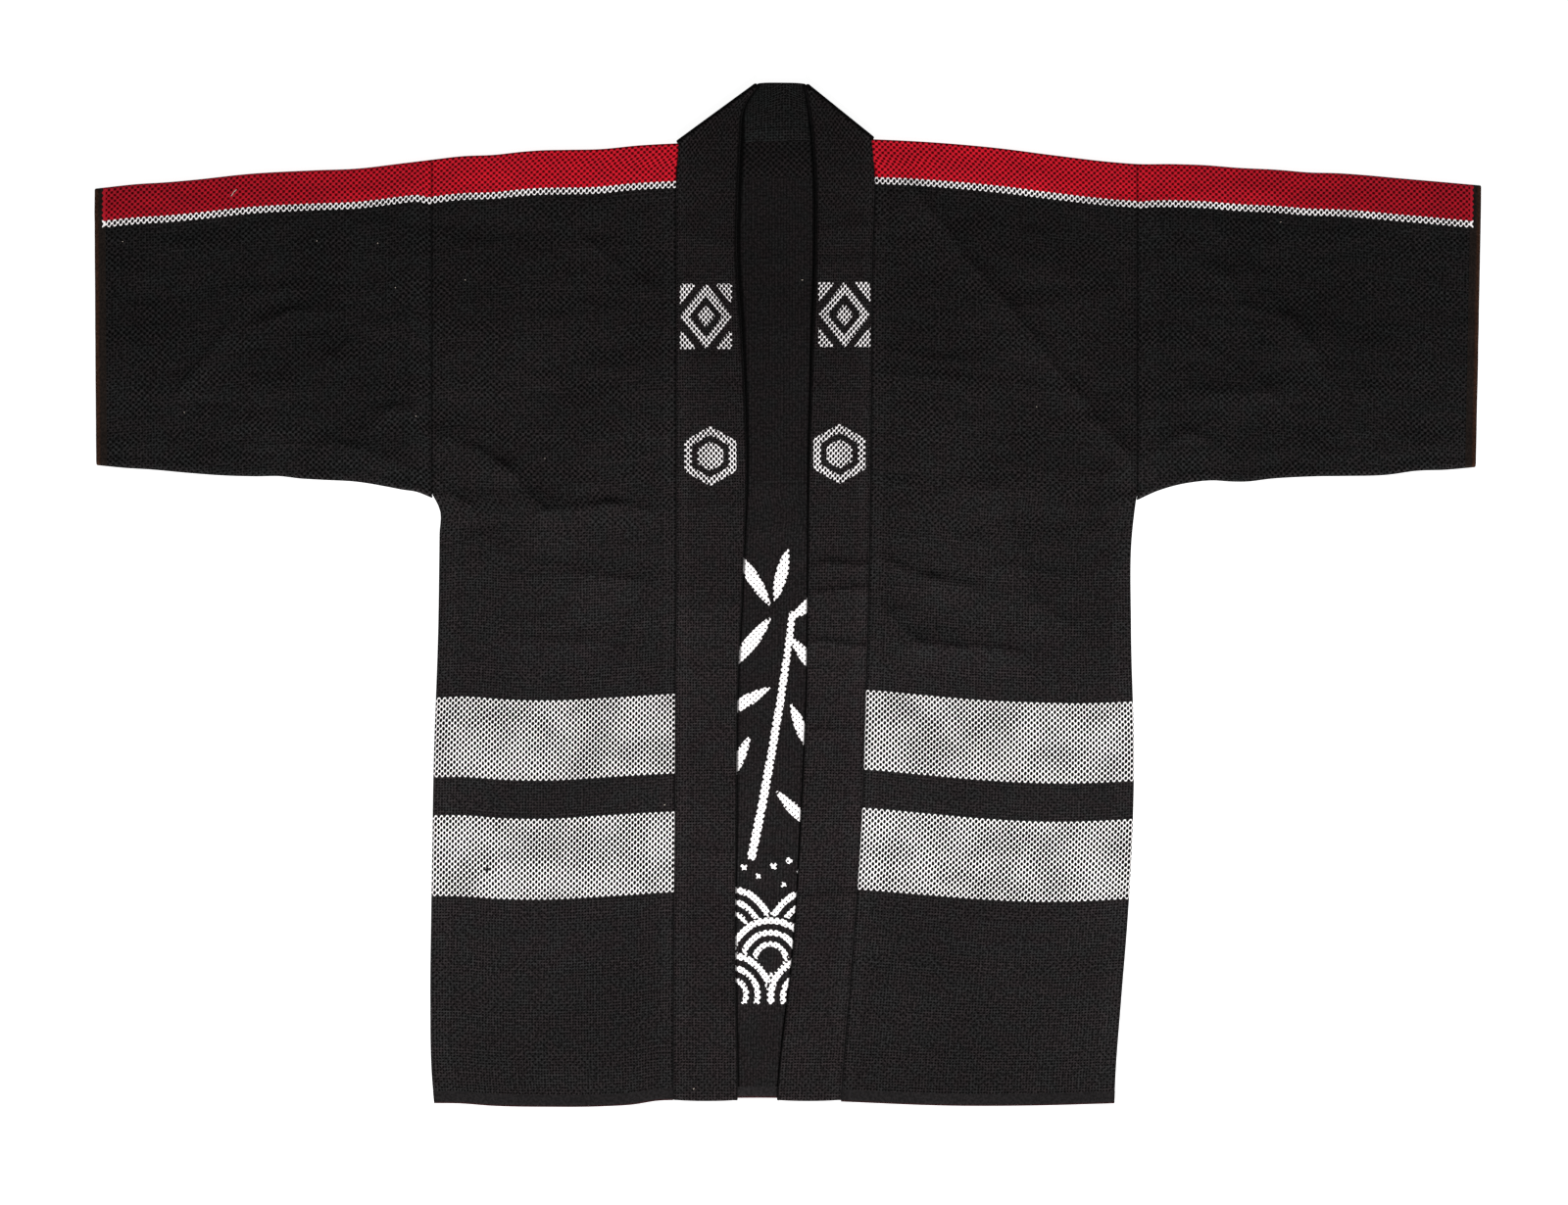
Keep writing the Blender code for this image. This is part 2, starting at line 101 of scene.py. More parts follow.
# Places where pieces meet
ARMHOLE_X = {"right": -0.3238, "left": 0.3176}
UNDERARM_Y = 0.092
CUFF_X = {"right": -0.6305, "left": 0.6305}
CUFF_SLANT = {"right": 0.0015, "left": -0.0050}
SEAM_REFERENCE_X = {"right": -0.102, "left": 0.075}
COLLAR_END_Y = -0.4594
TURN_SEWN_X = {"right": -0.0994, "left": 0.0762}
TURN_FREE = {"right": (-0.0266, 0.4624), "left": (0.0150, 0.4620)}
TURN_EASE = 0.050  # the band bends towards its slanting fold over this length
NECK_FREE_RISE = 0.0038
NECK_END_RISE = 0.0030
NECK_ALLOWANCE = 0.0135  # the seam allowance turned up on the collar's inner face
NECK_SEAM_DROP = 0.0023
NECK_GROOVE = 0.0007

# The sashiko weave, counted in cells. A cell has one pit at its corners and one at its middle.
CELL_WIDE = 0.0053
CELL_DEEP = 0.00515
RED_CELLS = 7
UPPER_BAND_CELLS = (97, 111)
LOWER_BAND_CELLS = (118, 132)
FRONT_CELLS = 166.3  # from the shoulder fold to the foot hem
SLEEVE_SHIFT = {"right": 0.0040, "left": 0.0012}  # how much less of the red shows on a sleeve
SHIFT_EASE = 0.016
NECK_MIDDLE = -0.0135  # the bands stop under the collar, NECK_HALF to either side of this
NECK_HALF = 0.0885

LinePoint = namedtuple("LinePoint", "x y")
BandPlace = namedtuple("BandPlace", "x upper lower")
SideRow = namedtuple("SideRow", "y right left")
CollarRow = namedtuple("CollarRow", "y right_seam right_free left_free left_seam")
Fold = namedtuple("Fold", "x0 y0 x1 y1 width height")
Rumple = namedtuple("Rumple", "height wide deep seed")

SHOULDER_LINE = [LinePoint(*place) for place in (
    (-0.6305, 0.3695), (-0.5920, 0.3737), (-0.5660, 0.3753), (-0.5390, 0.3777), (-0.4920, 0.3828),
    (-0.4320, 0.3862), (-0.3920, 0.3878), (-0.3510, 0.3926), (-0.3238, 0.3959), (-0.2980, 0.3990),
    (-0.2680, 0.4004), (-0.2440, 0.4031), (-0.2270, 0.4044), (-0.2040, 0.4049), (-0.1750, 0.4055),
    (-0.1400, 0.4089), (-0.1020, 0.4110), (0.0750, 0.4146), (0.1930, 0.4063), (0.2400, 0.4002),
    (0.2950, 0.3937), (0.3176, 0.3920), (0.3500, 0.3919), (0.3800, 0.3909), (0.4070, 0.3887),
    (0.4470, 0.3866), (0.4740, 0.3843), (0.5000, 0.3836), (0.5270, 0.3817), (0.5540, 0.3792),
    (0.5850, 0.3765), (0.6305, 0.3724),
)]

SLEEVE_UNDERSIDE = [LinePoint(*place) for place in (
    (-0.6305, 0.1178), (-0.6060, 0.1154), (-0.5790, 0.1137), (-0.5520, 0.1112), (-0.5120, 0.1083),
    (-0.4850, 0.1076), (-0.4620, 0.1077), (-0.4450, 0.1057), (-0.4250, 0.1045), (-0.3920, 0.1026),
    (-0.3650, 0.0982), (-0.3510, 0.0955), (-0.3380, 0.0935), (-0.3238, 0.0880), (0.3176, 0.0860),
    (0.3360, 0.0942), (0.3490, 0.0983), (0.3720, 0.1027), (0.3890, 0.1039), (0.4020, 0.1030),
    (0.4180, 0.1028), (0.4420, 0.1055), (0.4690, 0.1071), (0.4830, 0.1076), (0.5090, 0.1079),
    (0.5490, 0.1090), (0.5760, 0.1126), (0.6030, 0.1136), (0.6305, 0.1160),
)]

HEM_LINE = [LinePoint(*place) for place in (
    (-0.3240, -0.4626), (-0.3000, -0.4629), (-0.2710, -0.4650), (-0.2180, -0.4660), (-0.1640, -0.4654),
    (-0.1400, -0.4640), (-0.1150, -0.4603), (-0.1020, -0.4599), (-0.0500, -0.4586), (0.0100, -0.4586),
    (0.0750, -0.4612), (0.1750, -0.4650), (0.2460, -0.4648), (0.3180, -0.4628),
)]

# The upper edge of each hip band, where the rows of the weave run a little unevenly
BAND_LINES = (
    BandPlace(-0.3238, -0.0942, -0.2012),
    BandPlace(-0.2978, -0.0932, -0.2011),
    BandPlace(-0.2578, -0.0959, -0.2038),
    BandPlace(-0.2176, -0.0967, -0.2043),
    BandPlace(-0.1641, -0.0944, -0.2011),
    BandPlace(-0.1106, -0.0912, -0.1980),
    BandPlace(0.0785, -0.0874, -0.1945),
    BandPlace(0.1302, -0.0921, -0.1992),
    BandPlace(0.1838, -0.0967, -0.2041),
    BandPlace(0.2373, -0.0988, -0.2069),
    BandPlace(0.2640, -0.0994, -0.2069),
    BandPlace(0.3176, -0.0978, -0.2045),
)

SIDE_LINES = (
    SideRow(0.0920, -0.3238, 0.3176),
    SideRow(0.0770, -0.3167, 0.3155),
    SideRow(0.0550, -0.3170, 0.3131),
    SideRow(-0.0300, -0.3182, 0.3122),
    SideRow(-0.1550, -0.3224, 0.3149),
    SideRow(-0.2260, -0.3236, 0.3131),
    SideRow(-0.2970, -0.3247, 0.3090),
    SideRow(-0.3680, -0.3254, 0.3033),
    SideRow(-0.4400, -0.3238, 0.2979),
    SideRow(-0.4660, -0.3214, 0.2968),
)

COLLAR_LINES = (
    CollarRow(0.4640, -0.0985, -0.0281, 0.0160, 0.0750),
    CollarRow(0.4500, -0.0990, -0.0385, 0.0186, 0.0755),
    CollarRow(0.4130, -0.1002, -0.0432, 0.0225, 0.0768),
    CollarRow(0.3980, -0.1008, -0.0440, 0.0235, 0.0781),
    CollarRow(0.3810, -0.1015, -0.0448, 0.0244, 0.0788),
    CollarRow(0.3100, -0.1017, -0.0464, 0.0246, 0.0769),
    CollarRow(0.2380, -0.1017, -0.0419, 0.0222, 0.0762),
    CollarRow(0.1160, -0.1017, -0.0378, 0.0189, 0.0752),
    CollarRow(0.0000, -0.1018, -0.0418, 0.0178, 0.0734),
    CollarRow(-0.0780, -0.1026, -0.0455, 0.0170, 0.0712),
    CollarRow(-0.2060, -0.1031, -0.0470, 0.0116, 0.0669),
    CollarRow(-0.3150, -0.1040, -0.0480, 0.0052, 0.0596),
    CollarRow(-0.4340, -0.1044, -0.0460, -0.0080, 0.0500),
    CollarRow(-0.4660, -0.1044, -0.0455, -0.0107, 0.0478),
)

# Ridges stand up and troughs press down. A bent fold has a row for each straight stretch.
FOLDS = (
    # Left front
    Fold(0.112, 0.372, 0.313, 0.122, 0.013, 0.0030),
    Fold(0.228, 0.359, 0.291, 0.310, 0.020, -0.0012),
    Fold(0.086, 0.218, 0.157, 0.218, 0.012, -0.0010),
    Fold(0.162, 0.149, 0.193, 0.095, 0.018, 0.0018),
    Fold(0.193, 0.095, 0.228, -0.003, 0.018, 0.0020),
    Fold(0.228, -0.003, 0.273, -0.038, 0.018, 0.0016),
    Fold(0.077, 0.033, 0.162, 0.009, 0.014, 0.0018),
    Fold(0.081, -0.005, 0.121, -0.043, 0.013, 0.0022),
    Fold(0.121, -0.043, 0.202, -0.049, 0.013, 0.0025),
    Fold(0.150, -0.220, 0.270, -0.260, 0.045, 0.0014),
    Fold(0.110, -0.360, 0.230, -0.340, 0.040, 0.0012),
    # Right front
    Fold(-0.311, 0.144, -0.253, 0.113, 0.013, 0.0026),
    Fold(-0.253, 0.113, -0.218, 0.078, 0.013, 0.0028),
    Fold(-0.218, 0.078, -0.111, 0.079, 0.014, 0.0024),
    Fold(-0.253, 0.042, -0.182, 0.015, 0.015, -0.0012),
    Fold(-0.182, 0.015, -0.137, 0.015, 0.015, 0.0018),
    Fold(-0.133, -0.007, -0.155, -0.074, 0.015, 0.0016),
    Fold(-0.218, 0.354, -0.111, 0.265, 0.022, 0.0018),
    Fold(-0.290, -0.180, -0.180, -0.230, 0.045, 0.0015),
    Fold(-0.240, -0.350, -0.140, -0.380, 0.040, 0.0012),
    # Right sleeve
    Fold(-0.485, 0.247, -0.414, 0.261, 0.014, 0.0022),
    Fold(-0.557, 0.180, -0.494, 0.265, 0.015, 0.0023),
    Fold(-0.387, 0.149, -0.334, 0.174, 0.014, 0.0020),
    Fold(-0.494, 0.131, -0.405, 0.136, 0.018, -0.0012),
    Fold(-0.405, 0.136, -0.360, 0.122, 0.018, 0.0018),
    # Left sleeve
    Fold(0.335, 0.336, 0.407, 0.283, 0.015, 0.0010),
    Fold(0.407, 0.283, 0.487, 0.234, 0.015, 0.0019),
    Fold(0.487, 0.234, 0.518, 0.167, 0.017, 0.0021),
    Fold(0.376, 0.180, 0.442, 0.185, 0.014, 0.0020),
    Fold(0.344, 0.136, 0.393, 0.136, 0.014, 0.0018),
)

# Sharp crests pressed into the cloth, with their width to one side and their height
CREASES = (
    # Left front
    Fold(0.112, 0.372, 0.313, 0.122, 0.0034, 0.0012),
    Fold(0.225, 0.362, 0.262, 0.336, 0.0055, -0.0015),
    Fold(0.262, 0.336, 0.291, 0.306, 0.0055, -0.0015),
    Fold(0.086, 0.220, 0.157, 0.214, 0.0035, 0.0008),
    Fold(0.090, 0.200, 0.160, 0.198, 0.0035, 0.0007),
    Fold(0.190, 0.098, 0.213, 0.040, 0.0040, 0.0008),
    Fold(0.213, 0.040, 0.226, -0.006, 0.0040, 0.0009),
    Fold(0.226, -0.006, 0.262, -0.030, 0.0040, 0.0006),
    Fold(0.081, -0.005, 0.121, -0.043, 0.0034, 0.0013),
    Fold(0.121, -0.043, 0.202, -0.049, 0.0034, 0.0012),
    Fold(0.077, 0.033, 0.130, 0.015, 0.0036, 0.0012),
    Fold(0.130, 0.015, 0.162, 0.009, 0.0036, 0.0008),
    Fold(0.202, 0.026, 0.262, 0.018, 0.0040, 0.0006),
    Fold(0.291, 0.113, 0.277, 0.060, 0.0040, 0.0010),
    Fold(0.300, 0.150, 0.318, 0.092, 0.0050, 0.0009),
    # Right front
    Fold(-0.316, 0.146, -0.288, 0.136, 0.0036, 0.0010),
    Fold(-0.288, 0.136, -0.253, 0.113, 0.0034, 0.0010),
    Fold(-0.253, 0.113, -0.218, 0.078, 0.0034, 0.0011),
    Fold(-0.218, 0.078, -0.164, 0.084, 0.0034, 0.0012),
    Fold(-0.164, 0.084, -0.125, 0.076, 0.0036, 0.0008),
    Fold(-0.320, 0.104, -0.289, 0.082, 0.0035, 0.0011),
    Fold(-0.298, 0.042, -0.262, 0.060, 0.0040, 0.0005),
    Fold(-0.255, 0.038, -0.182, 0.018, 0.0045, 0.0007),
    Fold(-0.182, 0.018, -0.137, 0.015, 0.0045, 0.0008),
    Fold(-0.133, -0.007, -0.155, -0.074, 0.0050, 0.0008),
    Fold(-0.235, -0.038, -0.165, -0.044, 0.0045, 0.0006),
    Fold(-0.196, 0.333, -0.150, 0.300, 0.0050, 0.0007),
    Fold(-0.150, 0.300, -0.112, 0.268, 0.0050, 0.0008),
    # Right sleeve
    Fold(-0.485, 0.247, -0.450, 0.258, 0.0040, 0.0009),
    Fold(-0.450, 0.258, -0.414, 0.261, 0.0040, 0.0009),
    Fold(-0.557, 0.180, -0.534, 0.210, 0.0042, 0.0009),
    Fold(-0.534, 0.210, -0.494, 0.265, 0.0042, 0.0007),
    Fold(-0.438, 0.227, -0.415, 0.219, 0.0038, 0.0010),
    Fold(-0.415, 0.219, -0.396, 0.229, 0.0038, 0.0010),
    Fold(-0.387, 0.149, -0.360, 0.172, 0.0042, 0.0008),
    Fold(-0.360, 0.172, -0.334, 0.174, 0.0042, 0.0007),
    Fold(-0.494, 0.133, -0.405, 0.138, 0.0045, 0.0009),
    Fold(-0.405, 0.138, -0.360, 0.122, 0.0045, 0.0009),
    Fold(-0.500, 0.279, -0.440, 0.281, 0.0050, 0.0007),
    # Left sleeve
    Fold(0.335, 0.336, 0.402, 0.287, 0.0050, 0.0004),
    Fold(0.402, 0.287, 0.416, 0.262, 0.0042, 0.0009),
    Fold(0.416, 0.262, 0.456, 0.254, 0.0042, 0.0010),
    Fold(0.456, 0.254, 0.478, 0.229, 0.0042, 0.0010),
    Fold(0.478, 0.229, 0.514, 0.167, 0.0045, 0.0010),
    Fold(0.350, 0.250, 0.450, 0.178, 0.0045, 0.0007),
    Fold(0.376, 0.180, 0.442, 0.185, 0.0040, 0.0009),
    Fold(0.344, 0.136, 0.366, 0.149, 0.0040, 0.0011),
    Fold(0.366, 0.149, 0.393, 0.136, 0.0040, 0.0011),
    Fold(0.382, 0.340, 0.440, 0.268, 0.0050, 0.0006),
)

# Creases across the front stretches of the collar band
COLLAR_CREASES = (
    # Left
    Fold(0.026, 0.300, 0.078, 0.307, 0.0050, 0.0006),
    Fold(0.024, 0.330, 0.078, 0.338, 0.0050, 0.0005),
    Fold(0.028, 0.140, 0.076, 0.144, 0.0050, 0.0003),
    Fold(0.030, 0.029, 0.075, 0.027, 0.0036, 0.0014),
    Fold(0.022, 0.002, 0.074, 0.007, 0.0036, 0.0012),
    Fold(0.022, -0.041, 0.071, -0.047, 0.0036, 0.0013),
    Fold(0.018, -0.070, 0.070, -0.066, 0.0050, 0.0004),
    Fold(0.018, -0.124, 0.060, -0.123, 0.0045, 0.0007),
    Fold(0.010, -0.276, 0.062, -0.272, 0.0045, 0.0006),
    Fold(0.000, -0.400, 0.052, -0.396, 0.0060, 0.0003),
    # Right
    Fold(-0.100, 0.330, -0.048, 0.320, 0.0060, 0.0005),
    Fold(-0.100, 0.214, -0.046, 0.217, 0.0050, 0.0004),
    Fold(-0.100, 0.080, -0.040, 0.083, 0.0050, 0.0005),
    Fold(-0.100, -0.012, -0.048, -0.006, 0.0060, 0.0004),
    Fold(-0.100, -0.066, -0.048, -0.070, 0.0050, 0.0005),
    Fold(-0.102, -0.232, -0.050, -0.236, 0.0050, 0.0005),
    Fold(-0.102, -0.372, -0.050, -0.368, 0.0060, 0.0003),
)

# Low ridges in the strip of the back that shows between the collar's stretches
BACK_CREASES = (
    Fold(-0.002, -0.123, 0.003, -0.217, 0.006, 0.0006),
    Fold(0.003, -0.217, -0.004, -0.252, 0.006, 0.0005),
    Fold(-0.040, 0.292, 0.016, 0.312, 0.010, 0.0004),
)

# Hills and hollows left by washing and by smoothing out the cloth by hand
BROAD_RUMPLES = (Rumple(0.00035, 0.090, 0.060, 1),)
STREAKY_RUMPLES = (Rumple(0.00034, 0.050, 0.018, 2), Rumple(0.00022, 0.030, 0.0095, 3))
STREAKINESS = (0.7, 1.9)  # below the hip bands' top edge and above it
STREAKS_CHANGE = (-0.10, 0.10)  # the height where it changes, and over what length
COLLAR_RUMPLES = (Rumple(0.00018, 0.030, 0.012, 4), Rumple(0.00010, 0.015, 0.007, 5))
NECK_RUMPLES = (Rumple(0.00015, 0.020, 0.006, 6),)
STRIP_RUMPLE = Rumple(0.00045, 0.045, 0.013, 7)
STRAY_RUMPLES = (Rumple(STRAY, 0.024, 0.024, 8), Rumple(STRAY, 0.024, 0.024, 9))
CREST_RUMPLE = Rumple(CREST_WAVER[1], 0.018, 0.018, 10)
RUMPLE_COUNT = 97  # the hills repeat after this many


# The camera looks straight down at the coat.
CAMERA_HEIGHT = 4.0
SENSOR_WIDTH = 36.0
VIEW_WIDTH = 1.4272
VIEW_CENTRE = (-0.0036, -0.0071)


def placed(name, data):
    """A new object in the scene, at the origin."""
    item = bpy.data.objects.new(name, data)
    bpy.context.scene.collection.objects.link(item)
    return item


def finished_mesh(name, shape):
    mesh = bpy.data.meshes.new(name)
    shape.to_mesh(mesh)
    shape.free()
    return mesh


def make_camera():
    lens = bpy.data.cameras.new("camera")
    lens.sensor_width = SENSOR_WIDTH
    lens.lens = SENSOR_WIDTH * CAMERA_HEIGHT / VIEW_WIDTH
    camera = placed("camera", lens)
    camera.location = (*VIEW_CENTRE, CAMERA_HEIGHT)
    bpy.context.scene.camera = camera


# Lines and heights that the sheets follow


def follow(places, values, at):
    """The values at many places on smooth lines through a few measured points."""
    places, values = np.asarray(places, float), np.asarray(values, float)
    at = np.clip(np.asarray(at, float), places[0], places[-1])
    slopes = np.gradient(values, places, axis=0)
    k = np.clip(np.searchsorted(places, at) - 1, 0, len(places) - 2)
    width = places[k + 1] - places[k]
    t = (at - places[k]) / width
    if values.ndim > 1:
        t, width = t[:, None], width[:, None]
    start = (1 + 2 * t) * (1 - t) ** 2 * values[k] + t * (1 - t) ** 2 * width * slopes[k]
    stop = t * t * (3 - 2 * t) * values[k + 1] - t * t * (1 - t) * width * slopes[k + 1]
    return start + stop


def line_y(line, x, column="y"):
    return follow([p.x for p in line], [getattr(p, column) for p in line], x)


def row_value(rows, column, y):
    rising = rows[::-1]
    return follow([r.y for r in rising], [getattr(r, column) for r in rising], y)


def side_x(side, y):
    return row_value(SIDE_LINES, side, y)


def collar_x(side, edge, y):
    return row_value(COLLAR_LINES, f"{side}_{edge}", y)


def smooth_step(value):
    t = np.clip(value, 0.0, 1.0)
    return t * t * (3 - 2 * t)


def lerp(a, b, t):
    return a + (b - a) * t


def inward(side):
    return 1 if side == "right" else -1


def collar_distance_scale(y):
    """Distances from the collar's free edges are scaled least at the neck, where the painted shade under
    its free edge is widest.
    """
    top, length = DISTANCE_SCALE_RISE
    return lerp(1.0, FOOT_DISTANCE_SCALE, smooth_step((top - y) / length))


def off_collars(x, y):
    """How far places between the collar's free edges are from them, scaled as the painted shade beside
    the collar reads them.
    """
    from_right, from_left = x - collar_x("right", "free", y), collar_x("left", "free", y) - x
    return np.minimum(from_right, LEFT_DISTANCE_SCALE * from_left) * collar_distance_scale(y)


def off_fold(fold, x, y):
    """The distance of places from a fold's line."""
    run_x, run_y = fold.x1 - fold.x0, fold.y1 - fold.y0
    along = ((x - fold.x0) * run_x + (y - fold.y0) * run_y) / (run_x**2 + run_y**2)
    along = np.clip(along, 0.0, 1.0)
    return np.hypot(x - fold.x0 - run_x * along, y - fold.y0 - run_y * along)


def swell(fold, x, y):
    """The height of a fold, soft to both sides of its line."""
    return fold.height * np.exp(-((off_fold(fold, x, y) / fold.width) ** 2))


def strayed(x, y):
    """Places moved a little to and fro, which makes a straight line run unevenly."""
    across, along = STRAY_RUMPLES
    return x + hills(x, y, across), y + hills(x, y, along)


def crest(crease, x, y):
    """The height of a sharp crest, steep on the side of the neck and gentle on the side of the hem."""
    slope = (crease.y1 - crease.y0) / (crease.x1 - crease.x0)
    beyond = y > crease.y0 + slope * (x - crease.x0)
    width = crease.width * np.where(beyond, STEEP_SIDE, GENTLE_SIDE)
    return CREST_SHARE * crease.height * np.exp(-off_fold(crease, x, y) / width)


def edge_distance(x, y):
    """The distance to the nearest edge where the upper layer is folded or sewn to the lower one."""
    armhole = np.where(x < 0, ARMHOLE_X["right"], ARMHOLE_X["left"])
    from_shoulder = line_y(SHOULDER_LINE, x) - y
    on_sleeve = np.minimum(from_shoulder, y - line_y(SLEEVE_UNDERSIDE, x))
    from_side = np.abs(x - np.where(x < 0, side_x("right", y), side_x("left", y)))
    on_body = np.where(y < UNDERARM_Y, np.minimum(from_shoulder, from_side), from_shoulder)
    on_body = np.minimum(on_body, np.hypot(x - armhole, y - UNDERARM_Y))
    return np.where(np.abs(x) > np.abs(armhole), on_sleeve, on_body)


def hills(x, y, rumple):
    """Soft hills and hollows, each about as wide and as deep as the rumple says."""
    count = RUMPLE_COUNT
    levels = np.random.default_rng(rumple.seed).uniform(-1, 1, (count, count))
    across, along = x / rumple.wide + count / 2, y / rumple.deep + count / 2
    i, j = np.floor(across).astype(int), np.floor(along).astype(int)
    s, t = smooth_step(across - i), smooth_step(along - j)
    near = lerp(levels[j % count, i % count], levels[j % count, (i + 1) % count], s)
    far = lerp(levels[(j + 1) % count, i % count], levels[(j + 1) % count, (i + 1) % count], s)
    return rumple.height * lerp(near, far, t)


def rumpled(x, y, rumples):
    return sum(hills(x, y, rumple) for rumple in rumples)


def unevenness(x, y):
    """Heavy cloth that has been washed and smoothed out by hand, more rumpled above the hip bands."""
    height, length = STREAKS_CHANGE
    share = lerp(*STREAKINESS, smooth_step((y - height) / length))
    return rumpled(x, y, BROAD_RUMPLES) + rumpled(x, y, STREAKY_RUMPLES) * share


def seam_allowance(distance):
    """The turned-in cloth beside a seam, which raises what covers it."""
    return ALLOWANCE_RAISE * smooth_step((ALLOWANCE - distance) / ALLOWANCE_STEP)


def upper_lift(x, y):
    """How far the upper layer stands off the lower one, past the gap between them."""
    armhole = np.where(x < 0, -ARMHOLE_X["right"], ARMHOLE_X["left"])
    height = LOFT + unevenness(x, y)
    for fold in FOLDS:
        height = height + FOLD_SHARE * swell(fold, x, y)
    on_body = smooth_step((armhole - np.abs(x)) / EDGE_EASE)
    height = np.clip(height, 0.0, lerp(MOST_LIFT["sleeve"], MOST_LIFT["front"], on_body))
    crests = sum(crest(crease, *strayed(x, y)) for crease in CREASES)
    height = height + crests * (CREST_WAVER[0] + hills(x, y, CREST_RUMPLE))
    from_edge = edge_distance(x, y)
    height = np.maximum(height, 0.0) * smooth_step(from_edge / EDGE_EASE)
    from_armhole = np.abs(x) - armhole
    dip = SEAM_DIP * np.exp(-((from_armhole / SEAM_DIP_WIDTH) ** 2))
    height = height * (1 - np.where(y > UNDERARM_Y, dip, 0.0))
    under_sleeve = seam_allowance(np.where(from_armhole > 0, from_armhole, ALLOWANCE * 2))
    under_side = seam_allowance(np.where(y < UNDERARM_Y, from_edge, ALLOWANCE * 2))
    from_under = np.where(from_armhole > 0, y - line_y(SLEEVE_UNDERSIDE, x), ALLOWANCE * 2)
    under_side = under_side + seam_allowance(from_under + ALLOWANCE - UNDERARM_ALLOWANCE)
    return height + (under_sleeve + under_side) * smooth_step(from_edge / ALLOWANCE_STEP)


def rolled(distance):
    """How far a rolled edge drops at a distance from the edge."""
    inside = np.clip(ROLL - distance, 0.0, ROLL)
    return ROLL - np.sqrt(ROLL**2 - inside**2)


def with_close_ends(steps):
    """The steps with one more very near each end, which keeps a cut edge crisp."""
    nudge = np.copysign(END_STEP, steps[-1] - steps[0])
    return np.concatenate([steps[:1], [steps[0] + nudge], steps[1:-1], [steps[-1] - nudge], steps[-1:]])


def edged_steps(length, count):
    """Even steps along a length, after a few close ones for a rolled edge."""
    return np.concatenate([EDGE_STEPS, np.linspace(EDGE_STEPS[-1], length, count)[1:]])


# Sheets of cloth


def lay_sheet(name, points, cloth_u, cloth_v, wall, materials, flipped=False, marks=None):
    """A grid of cloth laid at a table of points, given a wall on its inner side.

    The points run along the sheet row by row. cloth_u and cloth_v say where on the flat cloth each lies,
    and marks are named distances that the materials read.
    """
    rows, columns = points.shape[:2]
    shape = bmesh.new()
    bmesh.ops.create_grid(shape, x_segments=columns - 1, y_segments=rows - 1, size=0.5)
    if flipped:
        bmesh.ops.reverse_faces(shape, faces=shape.faces)
    mesh = finished_mesh(name, shape)
    mesh.vertices.foreach_set("co", points.reshape(-1))
    flat = np.stack(np.broadcast_arrays(cloth_u, cloth_v), axis=-1).reshape(-1, 2)
    corners = np.empty(len(mesh.loops), np.int32)
    mesh.loops.foreach_get("vertex_index", corners)
    mesh.uv_layers.new(name="cloth").data.foreach_set("uv", flat[corners].reshape(-1))
    for mark, distance in (marks or {}).items():
        mesh.attributes.new(mark, "FLOAT", "POINT").data.foreach_set("value", distance.reshape(-1))
    mesh.shade_smooth()
    for material in materials:
        mesh.materials.append(material)
    mesh.update()
    piece = placed(name, mesh)
    shell = piece.modifiers.new("wall", "SOLIDIFY")
    shell.thickness = wall
    shell.offset = -1
    shell.material_offset = len(materials) - 1
    return piece


def declare(piece, node):
    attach(piece, "root")
    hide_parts(node)


def stack(x, y, z):
    return np.stack(np.broadcast_arrays(x, y, z), axis=-1)


def front_depths(count):
    """Steps down the front of the cloth from the top of the shoulder fold, in metres of cloth."""
    start = math.pi / 2 * TURN_RADIUS
    return with_close_ends(np.linspace(start, FRONT_CELLS * CELL_DEEP, count))


def body_heights(reference_x, depths):
    """Where rows of the weave lie on the body, at the columns with these reference places."""
    keys = (depths[0], UPPER_BAND_CELLS[0] * CELL_DEEP, LOWER_BAND_CELLS[0] * CELL_DEEP, depths[-1])
    lines = np.stack([
        line_y(SHOULDER_LINE, reference_x) - TURN_RADIUS,
        line_y(BAND_LINES, reference_x, "upper"),
        line_y(BAND_LINES, reference_x, "lower"),
        line_y(HEM_LINE, reference_x) + HEM_DEPTH,
    ])
    return follow(keys, lines, depths)


FRONT_COLUMNS = 100
FRONT_ROWS = 390
FOLD_STEPS = 10
UNDERLAP_EASE = 3 * NECK_UNDERLAP
ROLL_EASE = 4 * EDGE_STEPS[-1]


